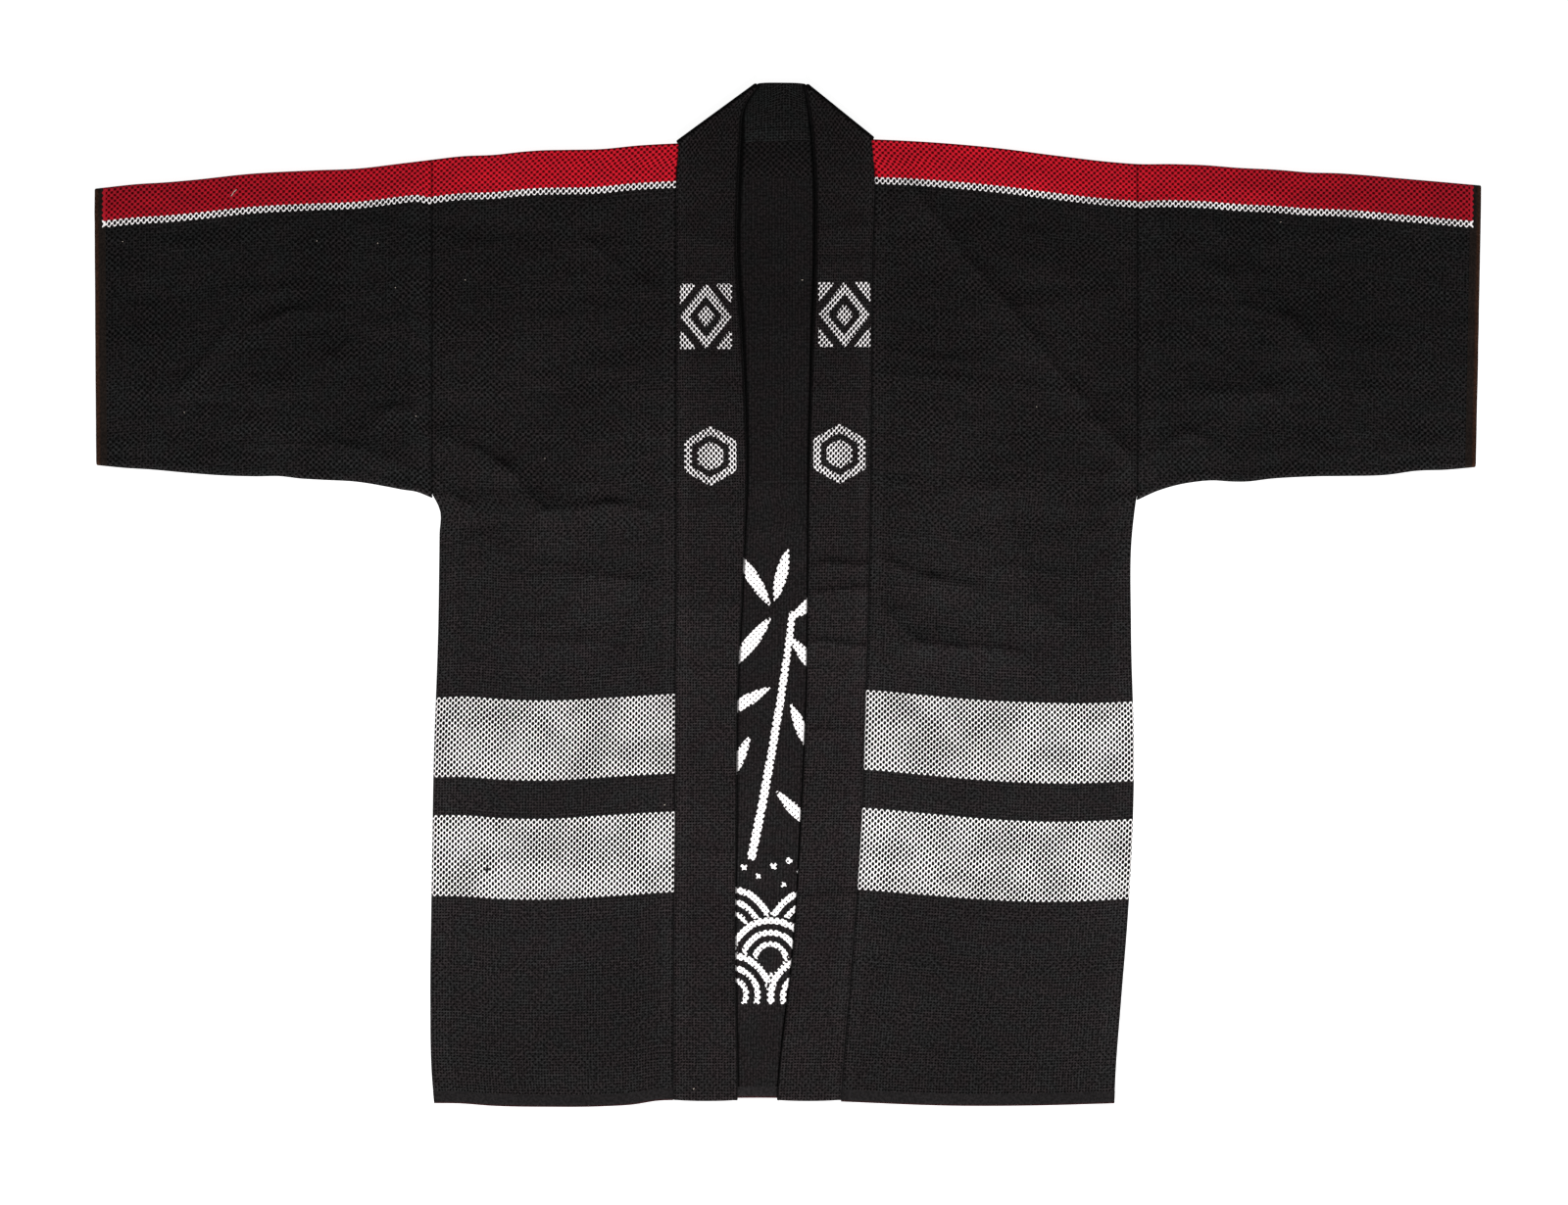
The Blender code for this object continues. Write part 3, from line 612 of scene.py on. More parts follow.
def make_front(side, cloth):
    """A front, from the back's top edge over the shoulder fold and down to the foot hem."""
    width = abs(ARMHOLE_X[side] - SEAM_REFERENCE_X[side])
    shares = edged_steps(width, FRONT_COLUMNS) / width
    reference_x = lerp(ARMHOLE_X[side], SEAM_REFERENCE_X[side], shares)
    depths = front_depths(FRONT_ROWS)
    y = body_heights(reference_x, depths)
    under_neck = NECK_UNDERLAP * smooth_step((y - COLLAR_RAMP[1]) / UNDERLAP_EASE)
    edge, seam = side_x(side, y), collar_x(side, "seam", y) + inward(side) * under_neck
    x = lerp(edge, seam, shares)
    collar_shade_distance = np.abs(x - seam)
    lift = lerp(COLLAR_SEAT, upper_lift(x, y), smooth_step(collar_shade_distance / EDGE_EASE))
    turned_in = smooth_step((COLLAR_ALLOWANCE - collar_shade_distance) / ALLOWANCE_STEP)
    lift = lift + ALLOWANCE_RAISE * turned_in * smooth_step(collar_shade_distance / ALLOWANCE_STEP)
    foot = line_y(HEM_LINE, reference_x) + HEM_DEPTH
    lift = lerp(HEM_SEAT, lift, smooth_step((y - foot) / HEM_EASE))
    roll_share = lerp(SEAM_ROLL, 1.0, smooth_step((UNDERARM_Y - y) / ROLL_EASE))
    z = 2 * TURN_RADIUS + lift - roll_share * rolled(np.abs(x - edge))
    turn = np.linspace(math.pi, 0, FOLD_STEPS + 1)[:-1, None]
    fold_y = y[0] + TURN_RADIUS * np.sin(turn)
    rise = np.where(turn < math.pi / 2, z[0] - TURN_RADIUS, TURN_RADIUS)
    fold_z = TURN_RADIUS + rise * np.cos(turn)
    tail = stack(x[0], y[0] - GAP, 0.0)[None]
    points = np.concatenate([tail, stack(x[0], fold_y, fold_z), stack(x, y, z)])
    v = np.concatenate([[-depths[0] - GAP], depths[0] * (1 - 2 * turn[:, 0] / math.pi), depths])
    piece = lay_sheet(
        f"front_{side}_cloth", points, reference_x[None], v[:, None], SHELL, cloth,
        flipped=side == "right",
    )
    declare(
        piece, f"front_{side}",
    )


MOTIF_ENDS = (0.060, -0.385)  # the upper and lower ends of the back's motif
VISIBLE_STRIP = (-0.103, 0.076)
STRIP_STEP = 0.0021
STRIP_EASE = 0.02
PLAIN_STEP = 0.0055
DEPTH_SAMPLES = 200


def back_steps(start, stop, fine_start, fine_stop):
    """Steps with a fine stretch where the motif and the coat's opening are."""
    before = np.arange(start, fine_start, PLAIN_STEP)
    fine = np.arange(fine_start, fine_stop, STRIP_STEP)
    after = np.linspace(fine_stop, stop, round((stop - fine_stop) / PLAIN_STEP) + 1)
    return np.concatenate([before, fine, after])


def make_back(cloth):
    """The back, one wide panel that lies flat on the floor with its outer face down."""
    right, left = ARMHOLE_X["right"], ARMHOLE_X["left"]
    reference_x = back_steps(right, left, *VISIBLE_STRIP)
    shares = (reference_x - right) / (left - right)
    reach = front_depths(DEPTH_SAMPLES)
    middle = body_heights(np.array([0.0]), reach)[:, 0]
    fine = np.interp(-np.array(MOTIF_ENDS), -middle, reach)
    depths = with_close_ends(back_steps(reach[0], reach[-1], *fine))
    y = body_heights(reference_x, depths)
    x = lerp(side_x("right", y), side_x("left", y), shares)
    ridges = sum(swell(crease, x, y) for crease in BACK_CREASES)
    uncovered = off_collars(x, y)
    rumples = STRIP_RUMPLE.height + hills(x, y, STRIP_RUMPLE)
    z = ridges + rumples * smooth_step(uncovered / STRIP_EASE)
    piece = lay_sheet(
        "back_cloth", stack(x, y, z), reference_x[None], -depths[:, None], WALL, cloth,
        marks={"motif": back_motif(x, y), "collar_shade_distance": np.maximum(uncovered, 0.0)},
    )
    declare(
        piece, "back_panel"
    )


SLEEVE_COLUMNS = 98
SLEEVE_FRONT_ROWS = 108
SLEEVE_BACK_ROWS = 56
CURL_STEPS = 5


def sleeve_rings(side, x, inset, wall):
    """Points round a flattened sleeve: up its back layer, over the top fold and down its front.

    x and inset are rows with one value for each ring. The inset is the depth below the outer face.
    Also gives how far round the cloth each point lies from the top of the fold.
    """
    top, under = line_y(SHOULDER_LINE, x), line_y(SLEEVE_UNDERSIDE, x)
    radius = wall + GAP / 2
    bend = radius - inset
    high, low = top - radius, under + radius
    quarter = np.linspace(0, math.pi / 2, CURL_STEPS + 1)[:, None]
    half = np.linspace(0, math.pi, 2 * CURL_STEPS + 1)[:, None]
    up = np.linspace(0, 1, SLEEVE_BACK_ROWS)[1:-1, None]
    down = np.linspace(0, 1, SLEEVE_FRONT_ROWS)[1:, None]
    front_y = lerp(high, low, down)
    lift = upper_lift(x, front_y)
    y = np.concatenate([
        low - bend * np.cos(quarter),
        lerp(low, high, up),
        high + bend * np.sin(half),
        front_y,
        low - bend * np.sin(quarter[1:]),
    ])
    z = np.concatenate([
        radius - bend * np.sin(quarter),
        inset + 0.0 * up,
        radius - bend * np.cos(half),
        2 * radius - inset + lift,
        radius + bend * np.cos(quarter[1:]),
    ])
    curl = radius * math.pi / 2
    deep = high - low
    round_v = np.concatenate([
        -curl - deep - radius * (math.pi / 2 - quarter) + 0.0 * x,
        -curl - deep * (1 - up),
        radius * (half - math.pi / 2) + 0.0 * x,
        curl + deep * down,
        curl + deep + radius * quarter[1:] + 0.0 * x,
    ])
    reach = np.clip((np.abs(x) - abs(ARMHOLE_X[side])) / abs(CUFF_X[side] - ARMHOLE_X[side]), 0, 1)
    slant = CUFF_SLANT[side] * reach * (top - y) / (top - under)
    return x + slant, y, z, round_v


def make_sleeve(side, cloth):
    """A sleeve is folded along its top and sewn together under the arm, open at both ends."""
    joint = CUFF_X[side] + inward(side) * CUFF_DEPTH
    length = abs(joint - ARMHOLE_X[side])
    steps = np.insert(edged_steps(length, SLEEVE_COLUMNS), -1, length - END_STEP)
    x = ARMHOLE_X[side] - inward(side) * steps
    laid_x, y, z, round_v = sleeve_rings(side, x, np.zeros_like(x), WALL)
    on_front = round_v > 0
    z = z - np.where(on_front, SEAM_ROLL * rolled(steps), 0.0)
    shift = SLEEVE_SHIFT[side] * smooth_step(steps / SHIFT_EASE)
    piece = lay_sheet(
        f"sleeve_{side}_cloth", stack(laid_x, y, z), x[None], round_v + shift * np.sign(round_v), SHELL,
        cloth, flipped=side == "left",
    )
    around = float(np.ptp(round_v, axis=0).mean())
    declare(
        piece, f"sleeve_{side}",
    )


HAIRPIN_STEPS = 6
HEM_COLUMN = 0.004
HEM_INSET = 0.0003  # the back's hem stops this much short of the fronts' hems


def hairpin(length, thick):
    """The outline of a turned hem as (run, height): along its outer face, round and back inside."""
    radius = thick / 2
    turn = np.linspace(0, math.pi, HAIRPIN_STEPS + 1)
    flat = np.array([0.0, END_STEP, 0.3 * length, 0.6 * length])
    run = np.concatenate([flat, length - radius + radius * np.sin(turn), flat[::-1]])
    ends = np.ones_like(flat)
    height = np.concatenate([thick * ends, radius + radius * np.cos(turn), 0.0 * ends])
    return run, height


def make_cuff_hem(side, cloth):
    """The smooth hem turned in at a sleeve's end."""
    joint = CUFF_X[side] + inward(side) * CUFF_DEPTH
    run, height = hairpin(CUFF_DEPTH, HEM_WALL)
    x, y, z, round_v = sleeve_rings(side, joint - inward(side) * run, HEM_WALL - height, HEM_WALL)
    across = np.concatenate([[0.0], np.cumsum(np.hypot(np.diff(run), np.diff(height)))])
    shifted_v = round_v + SLEEVE_SHIFT[side] * np.sign(round_v)
    piece = lay_sheet(
        f"cuff_hem_{side}_cloth", stack(x, y, z), across[None], shifted_v, HEM_SHELL, cloth,
        flipped=side == "left",
    )
    around = float(np.ptp(round_v, axis=0).mean())
    declare(
        piece, f"cuff_hem_{side}",
    )


def make_foot_hem(name, node, ends, low, inset, cloth, outer_down=False):
    """The smooth hem turned up along the foot of a panel, between its first and its last end.

    The ends are two places across the flat cloth and, for each, how far across it lies at a height.
    """
    first, last, start, stop = ends
    columns = round(abs(last - first) / HEM_COLUMN)
    shares = np.linspace(0, 1, columns + 1)
    reference_x = lerp(first, last, shares)[:, None]
    run, height = hairpin(HEM_DEPTH - inset, HEM_WALL)
    if outer_down:
        height = HEM_WALL - height
    y = line_y(HEM_LINE, reference_x) + HEM_DEPTH - run
    x = lerp(start(y), stop(y), shares[:, None])
    across = np.concatenate([[0.0], np.cumsum(np.hypot(np.diff(run), np.diff(height)))])
    piece = lay_sheet(
        name, stack(x, y, low + height), reference_x, across[None], HEM_SHELL, cloth,
        flipped=(last > first) == outer_down,
    )
    declare(
        piece, node
    )


def make_foot_hems(back_cloth, cloth):
    ends = (ARMHOLE_X["right"], ARMHOLE_X["left"], partial(side_x, "right"), partial(side_x, "left"))
    make_foot_hem(
        "hem_back_cloth", "hem_back", ends, 0.0, HEM_INSET, back_cloth,
        outer_down=True,
    )
    for side in ("right", "left"):
        seam_x = partial(collar_x, side, "seam")
        ends = (ARMHOLE_X[side], SEAM_REFERENCE_X[side], partial(side_x, side), seam_x)
        make_foot_hem(
            f"hem_front_{side}_cloth", f"hem_front_{side}", ends,
            HEM_WALL + GAP, 0.0, cloth,
        )


COLLAR_TOP_STEPS = 27
COLLAR_BOTTOM_STEPS = 8
COLLAR_ROWS = 460
COLLAR_TURN_ROWS = 20
NECK_ROWS = 70
SEWN_CURL = 0.0015  # the radius at the band's sewn edge
NECK_CURL = 0.0003
END_CURL = 0.003  # the band flattens over this length at its lower end
END_THICK = 0.72  # and is this share of its thickness there
FOOT_SAG = 0.0011
COLLAR_ALLOWANCE_RAISE = 0.6 * ALLOWANCE_RAISE
TURN_SHADE_ROWS = 6  # the shading under the band fades out over these rows of its turn
GROOVE_WIDTH = 0.0016


def collar_outline(width, thick, crown, curl):
    """Round the folded band as (run, height): up its sewn edge, across, round the free edge and back.

    Every value is a row, one for each place along the band.
    """
    radius = thick / 2
    quarter = np.linspace(0, math.pi / 2, 5)
    half = np.linspace(0, math.pi, 9)
    top = np.linspace(0, 1, COLLAR_TOP_STEPS)[1:-1]
    bottom = np.linspace(1, 0, COLLAR_BOTTOM_STEPS)[1:-1]
    start = np.minimum(curl, radius)
    run = [start * (1 - math.cos(a)) for a in quarter]
    height = [thick - start + start * math.sin(a) for a in quarter]
    for share in top:
        run.append(lerp(start, width - radius, share))
        height.append(thick + crown * (1 - (2 * share - 1) ** 2))
    run += [width - radius + radius * math.sin(a) for a in half]
    height += [radius + radius * math.cos(a) for a in half]
    run += [lerp(start, width - radius, share) for share in bottom]
    height += [0.0 * thick for _ in bottom]
    run += [start * (1 - math.cos(a)) for a in quarter[::-1]]
    height += [start - start * math.sin(a) for a in quarter[::-1]]
    return np.stack(run, axis=-1), np.stack(height, axis=-1)


def band_points(sewn, free, low, thick, crown, curl):
    """The folded band's outer face between rows of sewn and free places, with the cloth's widths."""
    gap = free - sewn
    width = np.hypot(gap[:, 0], gap[:, 1])
    across = gap / width[:, None]
    run, height = collar_outline(width, thick, crown, curl)
    x = sewn[:, 0, None] + across[:, 0, None] * run
    y = sewn[:, 1, None] + across[:, 1, None] * run
    z = low(y) + height
    cloth_u = np.cumsum(np.hypot(np.diff(run), np.diff(height)), axis=1)
    cloth_u = np.concatenate([np.zeros((len(run), 1)), cloth_u], axis=1)
    return stack(x, y, z), cloth_u


def front_collar_floor(y):
    """The underside of the front collar: on the back panel, or on the neck collar above it."""
    start, stop = COLLAR_RAMP
    on_back = lerp(HEM_WALL + GAP, WALL + GAP, smooth_step((y - COLLAR_END_Y) / HEM_DEPTH / 4))
    return lerp(on_back, COLLAR_THICK + GAP, smooth_step((y - start) / (stop - start)))


def neck_seam(x):
    return np.stack([x, line_y(SHOULDER_LINE, x) - WALL - GAP / 2], axis=-1)


def make_front_collar(side, cloth):
    """The collar's front stretch, from the foot up to the neck and round its slanting fold."""
    turn_sewn = neck_seam(np.array(TURN_SEWN_X[side]))
    turn_free = np.array(TURN_FREE[side])
    share = with_close_ends(np.linspace(1, 0, COLLAR_ROWS))
    sewn_y = lerp(turn_sewn[1], COLLAR_END_Y, share)
    free_y = lerp(turn_free[1], COLLAR_END_Y, share)
    sewn_x = collar_x(side, "seam", sewn_y) + inward(side) * GAP / 2
    free_x = collar_x(side, "free", free_y)
    near_turn = smooth_step((sewn_y - turn_sewn[1] + TURN_EASE) / TURN_EASE)
    sewn = np.stack([sewn_x + near_turn * (turn_sewn[0] - sewn_x[-1]), sewn_y], axis=-1)
    free = np.stack([free_x + near_turn * (turn_free[0] - free_x[-1]), free_y], axis=-1)
    from_end = np.clip((sewn_y - COLLAR_END_Y) / END_CURL, 0, 1)
    thick = COLLAR_THICK * lerp(END_THICK, 1.0, np.sqrt(1 - (1 - from_end) ** 2))
    ramp = smooth_step((COLLAR_RAMP[0] - sewn_y) / EDGE_EASE)
    flat_part, cloth_u = band_points(
        sewn, free, front_collar_floor, thick, COLLAR_CROWN * ramp, SEWN_CURL
    )
    x, y = flat_part[..., 0], flat_part[..., 1]
    above = (flat_part[..., 2] - front_collar_floor(y)) / thick[:, None]
    turned_in = smooth_step((COLLAR_ALLOWANCE - cloth_u) / ALLOWANCE_STEP)
    relief = rumpled(x, y, COLLAR_RUMPLES) + COLLAR_ALLOWANCE_RAISE * turned_in
    for crease in COLLAR_CREASES:
        relief = relief + crest(crease, x, y)
    flat_part[..., 2] += relief * ramp[:, None] * smooth_step((above - 0.6) / 0.4)
    sag = FOOT_SAG * smooth_step(1 - (sewn_y - COLLAR_END_Y) / HEM_EASE)
    from_sewn = np.abs(x - sewn[:, :1]) / np.abs(free[:, :1] - sewn[:, :1])
    flat_part[..., 1] -= sag[:, None] * 4 * from_sewn * (1 - from_sewn)
    flat_part[..., 2] += COLLAR_FREE_LIFT * ramp[:, None] * smooth_step(from_sewn * 2 - 1)
    axis_point = Vector((*turn_sewn, COLLAR_THICK + GAP / 2))
    axis = Vector((*turn_free, axis_point.z)) - axis_point
    swung = []
    for step in range(1, COLLAR_TURN_ROWS + 1):
        angle = -inward(side) * math.pi * step / COLLAR_TURN_ROWS
        swing = np.array(Matrix.Rotation(angle, 3, axis))
        swung.append((flat_part[-1] - axis_point) @ swing.T + axis_point)
    points = np.concatenate([flat_part, np.stack(swung)])
    cloth_u = np.concatenate([cloth_u, np.repeat(cloth_u[-1:], COLLAR_TURN_ROWS, axis=0)])
    turned = np.linspace(0, math.pi * COLLAR_THICK / 2, COLLAR_TURN_ROWS + 1)[1:, None]
    cloth_v = np.concatenate([y, y[-1] + turned])
    motif = collar_motif(side, points[..., 0], points[..., 1], cloth_u)
    shade_distance = np.abs(cloth_u - cloth_u[:, -1:] / 2) * collar_distance_scale(points[..., 1])
    rows_on = np.arange(1, COLLAR_TURN_ROWS + 1) / TURN_SHADE_ROWS
    round_turn = COLLAR_FOLD_SHADE.none * (1 - smooth_step(rows_on))
    shade_distance[len(flat_part):] = np.minimum(shade_distance[len(flat_part):], round_turn[:, None])
    piece = lay_sheet(
        f"collar_{side}_cloth", points, cloth_u, cloth_v, SHELL, cloth,
        flipped=side == "left", marks={"motif": motif, "shade_distance": shade_distance},
    )
    declare(
        piece, f"collar_front_{side}",
    )


def make_neck_collar(cloth):
    """The collar's neck stretch, which lies above the shoulders with its inner face up."""
    share = np.linspace(0, 1, NECK_ROWS)
    sewn = neck_seam(lerp(TURN_SEWN_X["right"], TURN_SEWN_X["left"], share))
    right_free, left_free = np.array(TURN_FREE["right"]), np.array(TURN_FREE["left"])
    free = lerp(right_free, left_free, share[:, None])
    free[:, 1] += lerp(NECK_END_RISE, NECK_FREE_RISE, 1 - (2 * share - 1) ** 4)
    thick = np.full(NECK_ROWS, COLLAR_THICK)
    points, cloth_u = band_points(sewn, free, lambda y: 0.0 * y, thick, 0.0 * thick, NECK_CURL)
    from_seam = points[..., 1] - sewn[:, 1, None]
    on_top = smooth_step(points[..., 2] / COLLAR_THICK * 2 - 1)
    seated = NECK_SEAM_DROP * (1 - smooth_step(from_seam / NECK_ALLOWANCE))
    groove = NECK_GROOVE * np.exp(-(((from_seam - NECK_ALLOWANCE) / GROOVE_WIDTH) ** 2))
    x, y = points[..., 0], points[..., 1]
    points[..., 2] -= on_top * (seated + groove - rumpled(x, y, NECK_RUMPLES))
    piece = lay_sheet(
        "collar_neck_cloth", points, x, cloth_u, SHELL, cloth, flipped=True,
        marks={"shade_distance": np.maximum(off_collars(x, y), 0.0)},
    )
    declare(
        piece, "collar_neck",
    )


# Lint


Thread = namedtuple("Thread", "x y z turn")


def scatter_threads(name, places, size, material):
    """Short lengths of thread, one at each place, joined in one mesh."""
    shape = bmesh.new()
    for place in places:
        stand = Matrix.Translation((place.x, place.y, place.z)) @ Matrix.Rotation(place.turn, 4, "Z")
        stand = stand @ Matrix.Diagonal((*size, 1.0))
        bmesh.ops.create_uvsphere(shape, u_segments=8, v_segments=6, radius=0.5, matrix=stand)
    mesh = finished_mesh(name, shape)
    mesh.shade_smooth()
    mesh.materials.append(material)
    piece = placed(name, mesh)
    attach(piece, "root")


LINT = (
    Thread(-0.5048, 0.3640, 0.0072, 0.95),
    Thread(-0.5024, 0.3670, 0.0074, 0.75),
)
SPECKS = (
    Thread(-0.1120, -0.1910, 0.0062, 0.4),
    Thread(-0.0856, -0.4490, 0.0072, 0.9),
    Thread(0.0130, 0.2865, 0.0022, 0.1),
)
# Places of the smallest specks, on the sleeves and the fronts
DUST = (
    (-0.6048, 0.3211), (-0.4282, 0.3216), (-0.3729, 0.3198), (-0.2935, 0.2863), (-0.3568, 0.2792),
    (-0.5486, 0.1659), (-0.3381, 0.1623), (0.4480, 0.3390), (0.2260, 0.1710), (-0.2210, 0.1240),
)
DARK_TUFT = (
    Thread(-0.2738, -0.2498, 0.0060, 0.6),
    Thread(-0.2730, -0.2490, 0.0062, 2.2),
)
LINT_SIZE = (0.0046, 0.0009, 0.0006)
SPECK_SIZE = (0.0016, 0.0009, 0.0006)
DUST_SIZE = (0.0011, 0.0008, 0.0005)
TUFT_SIZE = (0.0042, 0.0018, 0.0008)


def drop_lint(pale, dark):
    scatter_threads("sleeve_lint", LINT, LINT_SIZE, pale)
    scatter_threads("specks", SPECKS, SPECK_SIZE, pale)
    x, y = np.array(DUST).T
    z = 2 * TURN_RADIUS + upper_lift(x, y) + DUST_SIZE[2] / 3
    dust = [Thread(*spot, turn) for turn, spot in enumerate(zip(x, y, z))]
    scatter_threads("dust", dust, DUST_SIZE, pale)
    scatter_threads("band_tuft", DARK_TUFT, TUFT_SIZE, dark)


# Motifs, as the distance outside their outlines


NO_MOTIF = 1.0  # a distance well outside them all
Leaf = namedtuple("Leaf", "x y length width turn")
Cane = namedtuple("Cane", "x0 y0 x1 y1 width")
Wave = namedtuple("Wave", "x y radius")
Dot = namedtuple("Dot", "x y radius")

LEAVES = (
    Leaf(-0.031, 0.014, 0.056, 0.0105, 122),
    Leaf(-0.006, 0.018, 0.050, 0.0100, 76),
    Leaf(0.022, -0.006, 0.054, 0.0100, 40),
    Leaf(-0.034, -0.044, 0.060, 0.0110, 52),
    Leaf(0.019, -0.060, 0.058, 0.0105, 128),
    Leaf(-0.040, -0.098, 0.056, 0.0100, 30),
    Leaf(0.012, -0.122, 0.050, 0.0095, 112),
    Leaf(-0.046, -0.152, 0.052, 0.0095, 64),
    Leaf(0.006, -0.196, 0.048, 0.0090, 134),
    Leaf(0.058, -0.040, 0.060, 0.0110, 118),
    Leaf(0.062, -0.110, 0.058, 0.0105, 66),
    Leaf(-0.078, -0.020, 0.058, 0.0105, 104),
    Leaf(-0.086, -0.100, 0.060, 0.0105, 72),
    Leaf(0.052, -0.180, 0.054, 0.0100, 98),
)
CANES = (
    Cane(-0.0330, -0.2380, -0.0250, -0.1990, 0.0068),
    Cane(-0.0240, -0.1945, -0.0165, -0.1530, 0.0066),
    Cane(-0.0155, -0.1485, -0.0085, -0.1060, 0.0062),
    Cane(-0.0075, -0.1015, -0.0015, -0.0600, 0.0058),
    Cane(-0.0008, -0.0555, 0.0040, -0.0180, 0.0052),
    Cane(0.0780, -0.2300, 0.0640, -0.1500, 0.0064),
    Cane(0.0630, -0.1450, 0.0520, -0.0700, 0.0060),
)
DOTS = (
    Dot(-0.0400, -0.2480, 0.0026),
    Dot(-0.0270, -0.2560, 0.0022),
    Dot(-0.0130, -0.2470, 0.0028),
    Dot(0.0010, -0.2420, 0.0024),
    Dot(0.0110, -0.2520, 0.0026),
    Dot(-0.0040, -0.2640, 0.0022),
)
WAVES = (
    Wave(-0.0520, -0.3040, 0.038),
    Wave(0.0200, -0.3060, 0.038),
    Wave(-0.0900, -0.3320, 0.038),
    Wave(-0.0160, -0.3320, 0.038),
    Wave(0.0560, -0.3340, 0.038),
    Wave(-0.0520, -0.3640, 0.038),
    Wave(0.0200, -0.3660, 0.038),
)
WAVE_LINES = ((1.00, 0.87), (0.70, 0.59), (0.42, 0.32))  # outer and inner edge as shares of the radius
MOTIF_FOOT_Y = -0.372


def leaf_distance(leaf, x, y):
    """A bamboo leaf, the overlap of two large circles."""
    turn = math.radians(leaf.turn)
    along = (x - leaf.x) * math.cos(turn) + (y - leaf.y) * math.sin(turn)
    aside = (y - leaf.y) * math.cos(turn) - (x - leaf.x) * math.sin(turn)
    half_long, half_wide = leaf.length / 2, leaf.width / 2
    radius = (half_long**2 + half_wide**2) / (2 * half_wide)
    centre = radius - half_wide
    return np.hypot(along, np.abs(aside) + centre) - radius


def cane_distance(cane, x, y):
    """A stretch of bamboo cane between two of its joints."""
    return off_fold(cane, x, y) - cane.width / 2


def between_lines(distance, lines):
    """How far a distance is outside the nearest of some bands, each from an outer to an inner edge."""
    nearest = NO_MOTIF
    for outer, inner in lines:
        nearest = np.minimum(nearest, np.abs(distance - (outer + inner) / 2) - (outer - inner) / 2)
    return nearest


def wave_distance(from_centre, radius):
    """Concentric lines of one scale of the wave pattern."""
    return radius * between_lines(from_centre / radius, WAVE_LINES)


def back_motif(x, y):
    """Bamboo over rows of waves, a common pairing of plain patterns."""
    nearest = np.full(x.shape, NO_MOTIF)
    for leaf in LEAVES:
        nearest = np.minimum(nearest, leaf_distance(leaf, x, y))
    for cane in CANES:
        nearest = np.minimum(nearest, cane_distance(cane, x, y))
    for dot in DOTS:
        nearest = np.minimum(nearest, np.hypot(x - dot.x, y - dot.y) - dot.radius)
    for wave in WAVES:
        from_centre = np.hypot(x - wave.x, y - wave.y)
        covered = from_centre < wave.radius + STRIP_STEP
        nearest = np.where(covered, wave_distance(from_centre, wave.radius), nearest)
    return np.maximum(nearest, MOTIF_FOOT_Y - y)


Block = namedtuple("Block", "x y kind")

COLLAR_BLOCKS = {
    "right": (Block(-0.0745, 0.2530, "lozenge"), Block(-0.0705, 0.1260, "hexagon")),
    "left": (Block(0.0513, 0.2545, "lozenge"), Block(0.0468, 0.1280, "hexagon")),
}
BLOCK_HALF = (0.0230, 0.0290)
HEXAGON_LINES = ((0.0230, 0.0175), (0.0110, 0.0))  # outer and inner half widths
LOZENGE_LINES = ((1.00, 0.68), (0.32, 0.0))  # as shares of the block's half size
LOZENGE_CORNER = 1.42


def block_distance(block, x, y):
    """Nested lozenges with filled corners, or nested hexagons."""
    aside, up = np.abs(x - block.x), np.abs(y - block.y)
    if block.kind == "hexagon":
        across = np.maximum(aside, aside / 2 + up * math.sqrt(3) / 2)
        return between_lines(across, HEXAGON_LINES)
    half_wide, half_deep = BLOCK_HALF
    share = aside / half_wide + up / half_deep
    lines = np.minimum(between_lines(share, LOZENGE_LINES), LOZENGE_CORNER - share)
    slope = 1 / math.hypot(1 / half_wide, 1 / half_deep)
    return np.maximum(lines * slope, np.maximum(aside - half_wide, up - half_deep))


def collar_motif(side, x, y, cloth_u):
    """The two blocks on a front stretch of the collar, on its upper layer alone."""
    nearest = np.full(x.shape, NO_MOTIF)
    for block in COLLAR_BLOCKS[side]:
        nearest = np.minimum(nearest, block_distance(block, x, y))
    upper = cloth_u < cloth_u[:, -1:] / 2
    return np.where(upper, nearest, NO_MOTIF)


# Materials


# Dyes as the colours of the raised threads and of the pits between them
Dye = namedtuple("Dye", "thread pit")
BODY_BLACK = Dye((0.0157, 0.0143, 0.0146), (0.0014, 0.0012, 0.0012))
SLEEVE_BLACK = Dye((0.0139, 0.0132, 0.0135), (0.0012, 0.0011, 0.0011))
COLLAR_BLACK = Dye((0.0168, 0.0146, 0.0150), (0.0017, 0.0014, 0.0014))
NECK_BLACK = Dye((0.0133, 0.0134, 0.0134), (0.0015, 0.0014, 0.0014))
INSIDE_BLACK = Dye((0.0146, 0.0130, 0.0134), (0.0019, 0.0016, 0.0016))
HEM_BLACK = Dye((0.0164, 0.0148, 0.0152), (0.0063, 0.0056, 0.0058))
BACK_HEM_BLACK = Dye((0.0218, 0.0198, 0.0205), (0.0084, 0.0075, 0.0078))
CUFF_BLACK = Dye((0.0168, 0.0120, 0.0101), (0.0068, 0.0050, 0.0042))
RED = Dye((0.640, 0.0120, 0.0278), (0.070, 0.0012, 0.0020))
RED_REACH = (0.16, 0.66)  # the red deepens from near the neck out to the cuffs
DEEPER_RED = (0.62, 0.81, 0.77)
CUFF_RED = (0.400, 0.0095, 0.0215)
WHITE = Dye((0.985, 0.945, 0.945), (0.0020, 0.0015, 0.0015))
TUFT_BLACK = Dye((0.0180, 0.0165, 0.0170), (0.0080, 0.0072, 0.0072))
LINT_WHITE = Dye((0.700, 0.620, 0.540), (0.400, 0.340, 0.280))

